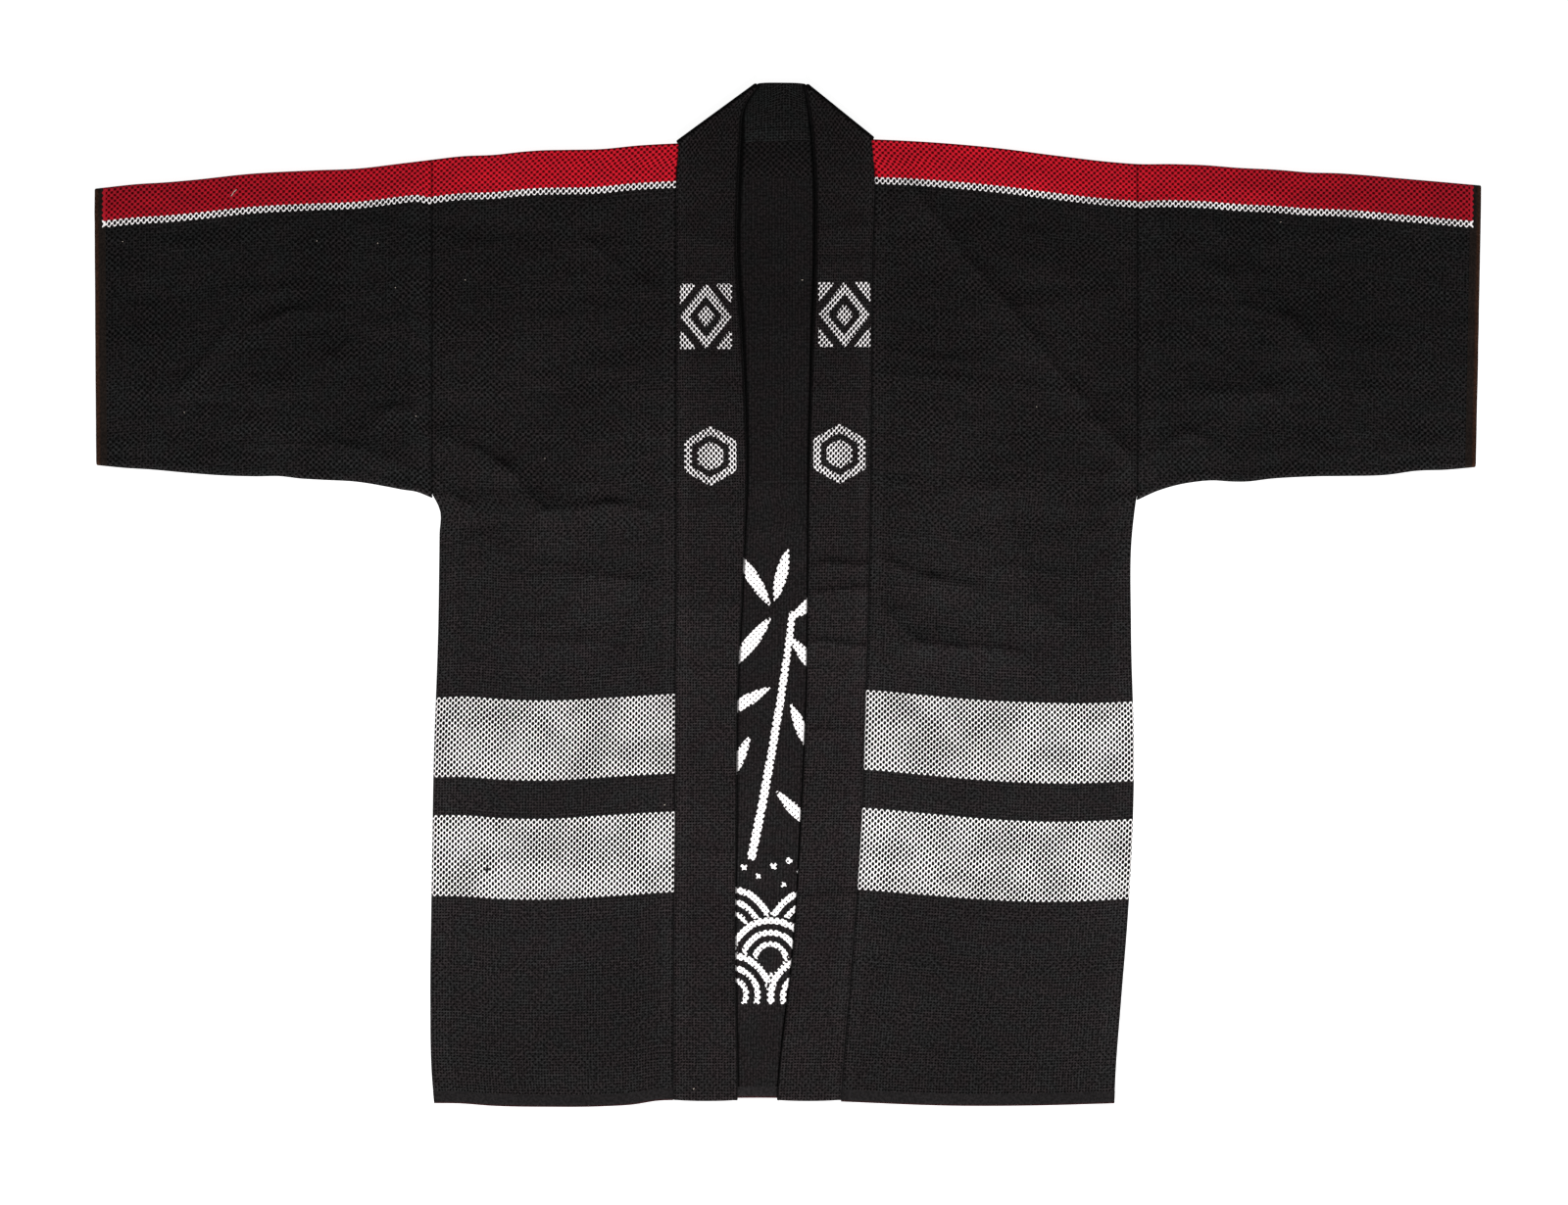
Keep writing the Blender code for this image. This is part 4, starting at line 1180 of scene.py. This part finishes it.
PIT = (0.00132, 0.00189)  # half width and half depth
SMALL_PIT = (0.00060, 0.00065)
PIT_LEAN = 0.05  # the pits lean towards the wearer's left at their tops
SCALLOP = 0.0007  # how far a band's edge swings between the pits
LIGHT_POOL_Y = -0.10  # painted light: the black is painted palest about this height, as a pool of light
LIGHT_POOL_REACH = (0.06, 0.44)
LIGHT_POOL_TONE = (1.29, 0.92)
CUFF_DYED = 0.0024  # how far the sleeve's bands run onto the cuff hem
DOTTED_DEPTH = 0.036  # the inner face is dotted down to here and ribbed below
# Least and most share of the coarse checks in the black weave, on the upper part and on the lower
BODY_WEAVE = ((0.45, 0.95), (0.02, 0.45))
SLEEVE_WEAVE = ((0.50, 1.00), (0.50, 1.00))
COLLAR_WEAVE = ((0.02, 0.42), (0.60, 1.00))
WEAVE_CHANGE = (0.26, 0.42)
Seam = namedtuple("Seam", "middle width start")  # start is the depth down the front where it begins
SLEEVE_SEAMS = (Seam(-0.3345, 0.0190, 0.0), Seam(0.3290, 0.0190, 0.0))
BODY_SEAMS = (
    Seam(-0.3140, 0.0190, 0.31),
    Seam(0.3078, 0.0190, 0.31),
    Seam(-0.1085, 0.0120, 0.0),
    Seam(0.0815, 0.0120, 0.0),
)
COLLAR_SEAMS = (Seam(0.0080, 0.0120, -1.0),)
WORN_SEAM = 0.16  # how much paler the cloth is rubbed over a seam's allowance
RUB_EDGE = 0.0025
RED_EVENNESS = 0.8  # share of the black's unevenness that the red hasn't
Shade = namedtuple("Shade", "full none tone")  # a tone that holds up to one distance and ends at another
# Painted shade on the collar band along its free fold, where it lies over the back
COLLAR_FOLD_SHADE = Shade(0.0024, 0.0060, 0.34)
# Painted shade beside the front collars' free edges, on the neck stretch and on the back's inner face
UNDER_COLLAR_SHADE = Shade(0.0024, 0.0054, 0.15)
SEWN_EDGE_SHADE = Shade(0.0002, 0.0019, 0.55)  # painted shade where the cloth turns down into a seam or round a fold, this near to it
HEM_TURN = 0.0006  # the middle of a hem's turned edge lies this far past the hem's depth
HEM_RIM = ((0.0006, 0.0026), (2.20, 0.55, 0.60))  # its reach to either side and its tint
CUFF_RIM = ((0.0030, 0.0056), (2.35, 1.45, 1.02))
FRONT_EDGES = (*ARMHOLE_X.values(), *SEAM_REFERENCE_X.values())
SLEEVE_EDGES = tuple(ARMHOLE_X.values())
COLLAR_EDGES = (0.0,)
SHOULDER_FOLD = (0.0,)
INSIDE_FOOT_LIGHT = (0.55, 0.85, 1.0, 1.22)  # painted light: the inner face is painted paler towards the foot, nearer the light beyond the hem
NECK_SHADE = (0.006, 0.050, 0.78, 1.0)  # and painted shade makes it a little darker along its top, beside the neck collar
RIB_SHARE = 0.32
SHADED_CHECKS = 0.6  # painted shade: the weave gives way to this even share of pit colour along the collar's fold and beside it
TABBY_REPEAT = 0.0009
BROAD_TONE = (0.90, 1.10)
OUTSIDE_SPREAD = 0.50  # how unevenly the threads took the dye
INSIDE_SPREAD = 0.44
HEM_SPREAD = 0.30
WHITE_SPREAD = 0.05
WARMER = (1.055, 0.972, 0.984)
COOLER = (0.953, 1.022, 1.013)
PULLED = (0.97, 1.07)  # how the pits' size changes over the cloth
WANDER = 0.0013  # how far the threads wander
SASHIKO_RELIEF = 0.00046
INSIDE_RELIEF = 0.00025
SMOOTH_RELIEF = 0.0001

# How many patches of each kind lie along a metre of cloth
WANDER_PATCHES = 110.0
PULLED_PATCHES = 26.0
BROAD_PATCHES = 9.0
THREAD_PATCHES = 430.0
DYE_PATCHES = 60.0
RUBBED_PATCHES = 30.0
STREAK_PATCHES = (20.0, 60.0, 1.0)


def feed(tree, socket, value):
    if isinstance(value, bpy.types.NodeSocket):
        tree.links.new(value, socket)
    else:
        socket.default_value = value


def calc(tree, operation, *values):
    step = tree.nodes.new("ShaderNodeMath")
    step.operation = operation
    for socket, value in zip(step.inputs, values):
        feed(tree, socket, value)
    return step.outputs[0]


def vector_calc(tree, operation, *values):
    step = tree.nodes.new("ShaderNodeVectorMath")
    step.operation = operation
    for socket, value in zip(step.inputs, values):
        feed(tree, socket, value)
    return step.outputs["Value" if operation == "LENGTH" else "Vector"]


def scaled(tree, vector, amount):
    step = tree.nodes.new("ShaderNodeVectorMath")
    step.operation = "SCALE"
    feed(tree, step.inputs[0], vector)
    feed(tree, step.inputs["Scale"], amount)
    return step.outputs["Vector"]


def mixed(tree, share, first, second):
    step = tree.nodes.new("ShaderNodeMix")
    step.data_type = "RGBA"
    feed(tree, step.inputs[0], share)
    for socket, colour in ((step.inputs[6], first), (step.inputs[7], second)):
        feed(tree, socket, colour if isinstance(colour, bpy.types.NodeSocket) else (*colour, 1))
    return step.outputs[2]


def blended(tree, share, first, second):
    step = tree.nodes.new("ShaderNodeMix")
    for socket, value in zip((step.inputs[0], step.inputs[2], step.inputs[3]), (share, first, second)):
        feed(tree, socket, value)
    return step.outputs[0]


def parts(tree, vector):
    """The X, Y and Z of a vector."""
    step = tree.nodes.new("ShaderNodeSeparateXYZ")
    tree.links.new(vector, step.inputs[0])
    return tuple(step.outputs)


def distance_from(tree, place, middle):
    return calc(tree, "ABSOLUTE", calc(tree, "SUBTRACT", place, middle))


def swing(tree, place, length):
    """A wave between -1 and 1 that repeats after this length."""
    return calc(tree, "COSINE", calc(tree, "MULTIPLY", place, 2 * math.pi / length))


def eased(tree, value, start, stop, low=0.0, high=1.0):
    step = tree.nodes.new("ShaderNodeMapRange")
    step.interpolation_type = "SMOOTHSTEP"
    for socket, number in zip(step.inputs, (value, start, stop, low, high)):
        feed(tree, socket, number)
    return step.outputs[0]


def shaded(tree, distance, shade):
    return eased(tree, distance, shade.full, shade.none, shade.tone, 1.0)


def noise(tree, place, scale, detail=2.0, output=0):
    step = tree.nodes.new("ShaderNodeTexNoise")
    feed(tree, step.inputs["Vector"], place)
    step.inputs["Scale"].default_value = scale
    step.inputs["Detail"].default_value = detail
    return step.outputs[output]


def start_cotton(name, roughness, sheen):
    """A cotton finish: its node tree, its shader and where on the flat cloth a point lies."""
    material = bpy.data.materials.new(name)
    material.use_nodes = True
    tree = material.node_tree
    shader = tree.nodes["Principled BSDF"]
    shader.inputs["Roughness"].default_value = roughness
    shader.inputs["Specular IOR Level"].default_value = 0.02
    shader.inputs["Sheen Weight"].default_value = sheen
    shader.inputs["Sheen Roughness"].default_value = 0.5
    shader.inputs["Sheen Tint"].default_value = (0.8, 0.78, 0.78, 1)
    cloth = tree.nodes.new("ShaderNodeUVMap")
    cloth.uv_map = "cloth"
    u, v, _ = parts(tree, cloth.outputs[0])
    return material, tree, shader, cloth.outputs[0], u, v


def raise_threads(tree, shader, height, distance):
    bump = tree.nodes.new("ShaderNodeBump")
    bump.inputs["Strength"].default_value = 1.0
    bump.inputs["Distance"].default_value = distance
    feed(tree, bump.inputs["Height"], height)
    tree.links.new(bump.outputs[0], shader.inputs["Normal"])


def drifted(tree, cloth):
    """The place on the cloth, moved a little where the threads wander."""
    wander = noise(tree, cloth, WANDER_PATCHES, 1.0, output="Color")
    centred = vector_calc(tree, "SUBTRACT", wander, (0.5, 0.5, 0.5))
    return vector_calc(tree, "ADD", cloth, scaled(tree, centred, WANDER))


def weave_pits(tree, place, half_size):
    """1 in the oval pits of the sashiko weave and 0 on its raised threads."""
    cells = vector_calc(tree, "DIVIDE", place, (CELL_WIDE, CELL_DEEP, 1.0))
    nearest = None
    for shift in (0.0, 0.5):
        moved = vector_calc(tree, "ADD", cells, (shift, shift, 0.5))
        inside = vector_calc(tree, "SUBTRACT", vector_calc(tree, "FRACTION", moved), (0.5, 0.5, 0.5))
        size = vector_calc(tree, "MULTIPLY", inside, (CELL_WIDE, CELL_DEEP, 0.0))
        across, along, _ = parts(tree, size)
        leaned = calc(tree, "MULTIPLY_ADD", along, PIT_LEAN, across)
        wide = calc(tree, "POWER", calc(tree, "DIVIDE", leaned, half_size[0]), 2.0)
        deep = calc(tree, "POWER", calc(tree, "DIVIDE", along, half_size[1]), 2.0)
        away = calc(tree, "SQRT", calc(tree, "ADD", wide, deep))
        nearest = away if nearest is None else calc(tree, "MINIMUM", nearest, away)
    pulled = eased(tree, noise(tree, place, PULLED_PATCHES), 0.35, 0.65, *PULLED)
    return eased(tree, calc(tree, "MULTIPLY", nearest, pulled), 1.12, 0.88)


def weave_checks(tree, place):
    """The weave as coarse and as fine checks, from 0 on its threads to 1 in the middle of its pits."""
    across, along, _ = parts(tree, place)
    checks = calc(tree, "MULTIPLY", swing(tree, across, CELL_WIDE), swing(tree, along, CELL_DEEP))
    fine = eased(tree, calc(tree, "MULTIPLY", checks, checks), 0.04, 0.70)
    return eased(tree, checks, -0.35, 0.65), fine


def cells_band(tree, deep, first, last, scallop):
    """1 between two rows of the weave, with an edge that swings round the pits."""
    middle, half = (first + last) / 2 * CELL_DEEP, (last - first) / 2 * CELL_DEEP
    off = distance_from(tree, deep, middle)
    return calc(tree, "LESS_THAN", off, calc(tree, "SUBTRACT", half, scallop))


def mark(tree, name):
    place = tree.nodes.new("ShaderNodeAttribute")
    place.attribute_name = name
    return place.outputs["Fac"]


def motif_share(tree, checks):
    """1 inside the motifs, whose edges swing round the pits."""
    edge = calc(tree, "MULTIPLY_ADD", checks, -2 * SCALLOP, SCALLOP)
    return calc(tree, "LESS_THAN", mark(tree, "motif"), edge)


def uneven_tone(tree, cloth, spread):
    """Broad and fine differences in how the threads took the dye."""
    broad = eased(tree, noise(tree, cloth, BROAD_PATCHES, 4.0), 0.32, 0.68, *BROAD_TONE)
    thread = eased(tree, noise(tree, cloth, THREAD_PATCHES, 1.0), 0.36, 0.64, 1 - spread, 1 + spread)
    return calc(tree, "MULTIPLY", broad, thread)


def tinted(tree, cloth, colour):
    """Patches where the old dye has turned a little warmer or cooler."""
    patch = eased(tree, noise(tree, cloth, DYE_PATCHES), 0.40, 0.62)
    patch = mixed(tree, patch, WARMER, COOLER)
    return vector_calc(tree, "MULTIPLY", colour, patch)


def painted_edge_shade(tree, place, edges):
    """Painted shade where the cloth turns down into a seam, or round a fold, along lines across the flat
    cloth.
    """
    tone = 1.0
    for edge in edges:
        shade = shaded(tree, distance_from(tree, place, edge), SEWN_EDGE_SHADE)
        tone = calc(tree, "MULTIPLY", shade, tone)
    return tone


def worn_seams(tree, cloth, u, v, seams):
    """Cloth rubbed paler where it lies over the allowance of a seam."""
    tone = 1.0
    patch = eased(tree, noise(tree, cloth, RUBBED_PATCHES), 0.3, 0.6, 0.5, 1.0)
    for seam in seams:
        off = distance_from(tree, u, seam.middle)
        near = eased(tree, off, seam.width / 2, seam.width / 2 - RUB_EDGE, 0.0, WORN_SEAM)
        near = calc(tree, "MULTIPLY", near, calc(tree, "GREATER_THAN", v, seam.start))
        tone = calc(tree, "MULTIPLY_ADD", near, patch, tone)
    return tone


def painted_light_pool(tree):
    """Painted light: the black is painted paler about one height down the front and darker above and
    below it, as a pool of light.
    """
    place = tree.nodes.new("ShaderNodeTexCoord")
    height = parts(tree, place.outputs["Object"])[1]
    return eased(tree, distance_from(tree, height, LIGHT_POOL_Y), *LIGHT_POOL_REACH, *LIGHT_POOL_TONE)


def band_shares(tree, u, v):
    """Where the cloth is dyed red, and where its white bands are, as two shares."""
    deep = calc(tree, "ABSOLUTE", v)
    scallop = calc(tree, "MULTIPLY", swing(tree, u, CELL_WIDE), SCALLOP)
    dyed = calc(tree, "GREATER_THAN", distance_from(tree, u, NECK_MIDDLE), NECK_HALF)
    red = calc(tree, "LESS_THAN", deep, RED_CELLS * CELL_DEEP)
    line = cells_band(tree, deep, RED_CELLS, RED_CELLS + 1, scallop)
    upper = cells_band(tree, deep, *UPPER_BAND_CELLS, scallop)
    lower = cells_band(tree, deep, *LOWER_BAND_CELLS, scallop)
    white = calc(tree, "MAXIMUM", line, calc(tree, "MAXIMUM", upper, lower))
    return calc(tree, "MULTIPLY", dyed, red), calc(tree, "MULTIPLY", dyed, white)


def sashiko_cotton(
    name, ground, open_weave, seams=(), edges=(), red_dye=None, motif=False, fold_shade=None
):
    """The outer face: raised threads round rows of pits, with the dyed and white bands."""
    material, tree, shader, cloth, u, v = start_cotton(name, roughness=0.85, sheen=0.02)
    place = drifted(tree, cloth)
    pits = weave_pits(tree, place, PIT)
    coarse, fine = weave_checks(tree, place)
    streak = noise(tree, vector_calc(tree, "MULTIPLY", cloth, STREAK_PATCHES), 1.0)
    upper, lower = (eased(tree, streak, 0.40, 0.62, *reach) for reach in open_weave)
    below = eased(tree, v, *WEAVE_CHANGE)
    checks = blended(tree, blended(tree, below, upper, lower), fine, coarse)
    # Painted shade by the collar's fold and beside the collar: the weave is muted and the colour
    # darkened
    if fold_shade:
        out_of_shade = eased(tree, mark(tree, "shade_distance"), fold_shade.full, fold_shade.none)
        checks = blended(tree, out_of_shade, SHADED_CHECKS, checks)
    thread, hollow = ground
    white = motif_share(tree, coarse) if motif else 0.0
    if red_dye:
        red, banded = band_shares(tree, u, v)
        checks = blended(tree, red, checks, coarse)
        thread, hollow = (mixed(tree, red, *pair) for pair in zip(ground, red_dye))
        outward = eased(tree, calc(tree, "ABSOLUTE", u), *RED_REACH)
        deeper = mixed(tree, calc(tree, "MULTIPLY", red, outward), (1, 1, 1), DEEPER_RED)
        white = calc(tree, "MAXIMUM", banded, white)
    dark = mixed(tree, checks, thread, hollow)
    if red_dye:
        dark = vector_calc(tree, "MULTIPLY", dark, deeper)
    # Random dye and worn seams, with a painted pool of light and painted shade at seams, folds and the
    # collar's fold
    wear_and_painted_light = calc(tree, "MULTIPLY", painted_light_pool(tree), uneven_tone(tree, cloth, OUTSIDE_SPREAD))
    wear_and_painted_light = calc(tree, "MULTIPLY", wear_and_painted_light, worn_seams(tree, cloth, u, v, seams))
    if red_dye:
        wear_and_painted_light = blended(tree, calc(tree, "MULTIPLY", red, RED_EVENNESS), wear_and_painted_light, 1.0)
        # Painted shade along the top of the shoulder fold
        wear_and_painted_light = calc(tree, "MULTIPLY", wear_and_painted_light, painted_edge_shade(tree, v, SHOULDER_FOLD))
    if fold_shade:
        wear_and_painted_light = calc(tree, "MULTIPLY", wear_and_painted_light, blended(tree, out_of_shade, fold_shade.tone, 1.0))
    # Painted shade along the seams and folds across the cloth
    wear_and_painted_light = calc(tree, "MULTIPLY", wear_and_painted_light, painted_edge_shade(tree, u, edges))
    dark = tinted(tree, cloth, scaled(tree, dark, wear_and_painted_light))
    light = mixed(tree, pits, WHITE.thread, WHITE.pit)
    light = scaled(tree, light, uneven_tone(tree, cloth, WHITE_SPREAD))
    tree.links.new(mixed(tree, white, dark, light), shader.inputs["Base Color"])
    sunk = calc(tree, "MULTIPLY", blended(tree, white, checks, pits), -1.0)
    raise_threads(tree, shader, sunk, SASHIKO_RELIEF)
    return material


def inside_cotton(name, ground, motif=False):
    """The inner face: fine upright ribs, with the motif showing through round small pits."""
    material, tree, shader, cloth, u, v = start_cotton(name, roughness=0.9, sheen=0.04)
    place = drifted(tree, cloth)
    coarse, fine = weave_checks(tree, place)
    rib = swing(tree, u, CELL_WIDE / 2)
    ribbed = blended(tree, RIB_SHARE, calc(tree, "MULTIPLY_ADD", rib, -0.5, 0.5), fine)
    deep = calc(tree, "ABSOLUTE", v)
    dotted = calc(tree, "LESS_THAN", deep, DOTTED_DEPTH)
    sunk = blended(tree, dotted, ribbed, coarse)
    neck_shade = eased(tree, deep, *NECK_SHADE)
    black = scaled(tree, mixed(tree, sunk, *ground), uneven_tone(tree, cloth, INSIDE_SPREAD))
    # Painted light from the pool of light, with painted shade along the top beside the neck collar
    black = scaled(tree, black, calc(tree, "MULTIPLY", painted_light_pool(tree), neck_shade))
    black = scaled(tree, black, eased(tree, deep, *INSIDE_FOOT_LIGHT))
    black = tinted(tree, cloth, black)
    raise_threads(tree, shader, calc(tree, "MULTIPLY", sunk, -1.0), INSIDE_RELIEF)
    if not motif:
        tree.links.new(black, shader.inputs["Base Color"])
        return material
    # Painted shade beside the front collars' free edges
    collar_shade = shaded(tree, mark(tree, "collar_shade_distance"), UNDER_COLLAR_SHADE)
    white = mixed(tree, weave_pits(tree, place, SMALL_PIT), WHITE.thread, WHITE.pit)
    white = scaled(tree, white, uneven_tone(tree, cloth, WHITE_SPREAD))
    colour = scaled(tree, mixed(tree, motif_share(tree, coarse), black, white), collar_shade)
    tree.links.new(colour, shader.inputs["Base Color"])
    return material


def spun_thread(name, dye, twist):
    """Two-ply thread with slanting strands."""
    material, tree, shader, *_ = start_cotton(name, roughness=0.7, sheen=0.1)
    place = tree.nodes.new("ShaderNodeTexCoord").outputs["Object"]
    strands = tree.nodes.new("ShaderNodeTexWave")
    strands.wave_type = "BANDS"
    strands.bands_direction = "DIAGONAL"
    strands.inputs["Scale"].default_value = twist
    strands.inputs["Distortion"].default_value = 1.0
    tree.links.new(place, strands.inputs["Vector"])
    tree.links.new(mixed(tree, strands.outputs["Fac"], dye.pit, dye.thread), shader.inputs["Base Color"])
    raise_threads(tree, shader, strands.outputs["Fac"], SMOOTH_RELIEF)
    return material


def plain_cotton(name, ground, banded=False):
    """The smooth tabby weave of the turned hems, and the sleeves' bands where they run onto a cuff."""
    material, tree, shader, cloth, u, v = start_cotton(name, roughness=0.8, sheen=0.05)
    over = calc(tree, "SINE", calc(tree, "MULTIPLY", u, 2 * math.pi / TABBY_REPEAT))
    under = calc(tree, "SINE", calc(tree, "MULTIPLY", v, 2 * math.pi / TABBY_REPEAT))
    tabby = calc(tree, "MULTIPLY_ADD", calc(tree, "MULTIPLY", over, under), 0.5, 0.5)
    colour = mixed(tree, tabby, ground.pit, ground.thread)
    colour = scaled(tree, colour, uneven_tone(tree, cloth, HEM_SPREAD))
    across, depth = (u, CUFF_DEPTH) if banded else (v, HEM_DEPTH)
    off_turn = distance_from(tree, across, depth + HEM_TURN)
    rim, tint = CUFF_RIM if banded else HEM_RIM
    turned = eased(tree, off_turn, *rim, 1.0, 0.0)
    colour = vector_calc(tree, "MULTIPLY", colour, mixed(tree, turned, (1, 1, 1), tint))
    if banded:
        edge = calc(tree, "MULTIPLY_ADD", swing(tree, v, CELL_DEEP), SCALLOP, CUFF_DYED)
        dyed = calc(tree, "LESS_THAN", u, edge)
        red, white = band_shares(tree, calc(tree, "ADD", u, CUFF_X["left"]), v)
        colour = mixed(tree, calc(tree, "MULTIPLY", dyed, red), colour, CUFF_RED)
        colour = mixed(tree, calc(tree, "MULTIPLY", dyed, white), colour, WHITE.thread)
    tree.links.new(colour, shader.inputs["Base Color"])
    raise_threads(tree, shader, tabby, SMOOTH_RELIEF)
    return material


# The floor and the light


FLOOR_HALF = 6.0
FLOOR_DROP = 0.0004  # the floor lies just under the cloth
KEY_PLACE = (0.25, -3.1, 2.25)
KEY_SIZE = 1.1
KEY_POWER = 246.0
SKY_STRENGTH = 0.22


def make_floor():
    """White paper, lit a little from within so that it comes out plain white."""
    shape = bmesh.new()
    bmesh.ops.create_grid(shape, x_segments=1, y_segments=1, size=FLOOR_HALF)
    mesh = finished_mesh("floor", shape)
    floor = placed("floor", mesh)
    floor.location.z = -FLOOR_DROP
    paper = bpy.data.materials.new("floor_paper")
    paper.use_nodes = True
    shader = paper.node_tree.nodes["Principled BSDF"]
    shader.inputs["Base Color"].default_value = (0.34, 0.34, 0.34, 1)
    shader.inputs["Roughness"].default_value = 0.9
    shader.inputs["Specular IOR Level"].default_value = 0.1
    shader.inputs["Emission Color"].default_value = (1, 1, 1, 1)
    shader.inputs["Emission Strength"].default_value = 0.92
    mesh.materials.append(paper)


def make_light():
    """An even white sky and one soft lamp beyond the hem."""
    world = bpy.data.worlds.new("studio")
    world.use_nodes = True
    sky = world.node_tree.nodes["Background"]
    sky.inputs["Color"].default_value = (1.0, 1.0, 1.0, 1)
    sky.inputs["Strength"].default_value = SKY_STRENGTH
    bpy.context.scene.world = world
    bpy.context.scene.view_settings.view_transform = "Standard"
    lamp = bpy.data.lights.new("key", "AREA")
    lamp.shape = "SQUARE"
    lamp.size = KEY_SIZE
    lamp.energy = KEY_POWER
    light = placed("key", lamp)
    light.location = KEY_PLACE
    light.rotation_euler = (-Vector(KEY_PLACE)).to_track_quat("-Z", "Y").to_euler()


def main():
    make_camera()
    inside = inside_cotton("inside_cotton", INSIDE_BLACK)
    back_inside = inside_cotton("back_inside_cotton", INSIDE_BLACK, motif=True)
    back_outside = sashiko_cotton("back_cotton", BODY_BLACK, BODY_WEAVE, red_dye=RED, motif=True)
    back = [back_outside, back_inside]
    body = [
        sashiko_cotton("body_cotton", BODY_BLACK, BODY_WEAVE, BODY_SEAMS, FRONT_EDGES, RED),
        inside,
    ]
    sleeve = [
        sashiko_cotton(
            "sleeve_cotton", SLEEVE_BLACK, SLEEVE_WEAVE, SLEEVE_SEAMS, SLEEVE_EDGES, RED
        ),
        inside,
    ]
    collar = [
        sashiko_cotton(
            "collar_cotton", COLLAR_BLACK, COLLAR_WEAVE, COLLAR_SEAMS, COLLAR_EDGES, motif=True,
            fold_shade=COLLAR_FOLD_SHADE,
        )
    ]
    neck = [sashiko_cotton("neck_cotton", NECK_BLACK, COLLAR_WEAVE, fold_shade=UNDER_COLLAR_SHADE)]
    hem = [plain_cotton("hem_cotton", HEM_BLACK)]
    back_hem = [plain_cotton("back_hem_cotton", BACK_HEM_BLACK)]
    cuff = [plain_cotton("cuff_cotton", CUFF_BLACK, banded=True)]
    make_back(back)
    make_foot_hems(back_hem, hem)
    for side in ("right", "left"):
        make_front(side, body)
        make_sleeve(side, sleeve)
        make_cuff_hem(side, cuff)
        make_front_collar(side, collar)
    make_neck_collar(neck)
    drop_lint(
        spun_thread("lint", LINT_WHITE, 1500.0), spun_thread("black_thread", TUFT_BLACK, 900.0)
    )
    make_floor()
    make_light()


main()
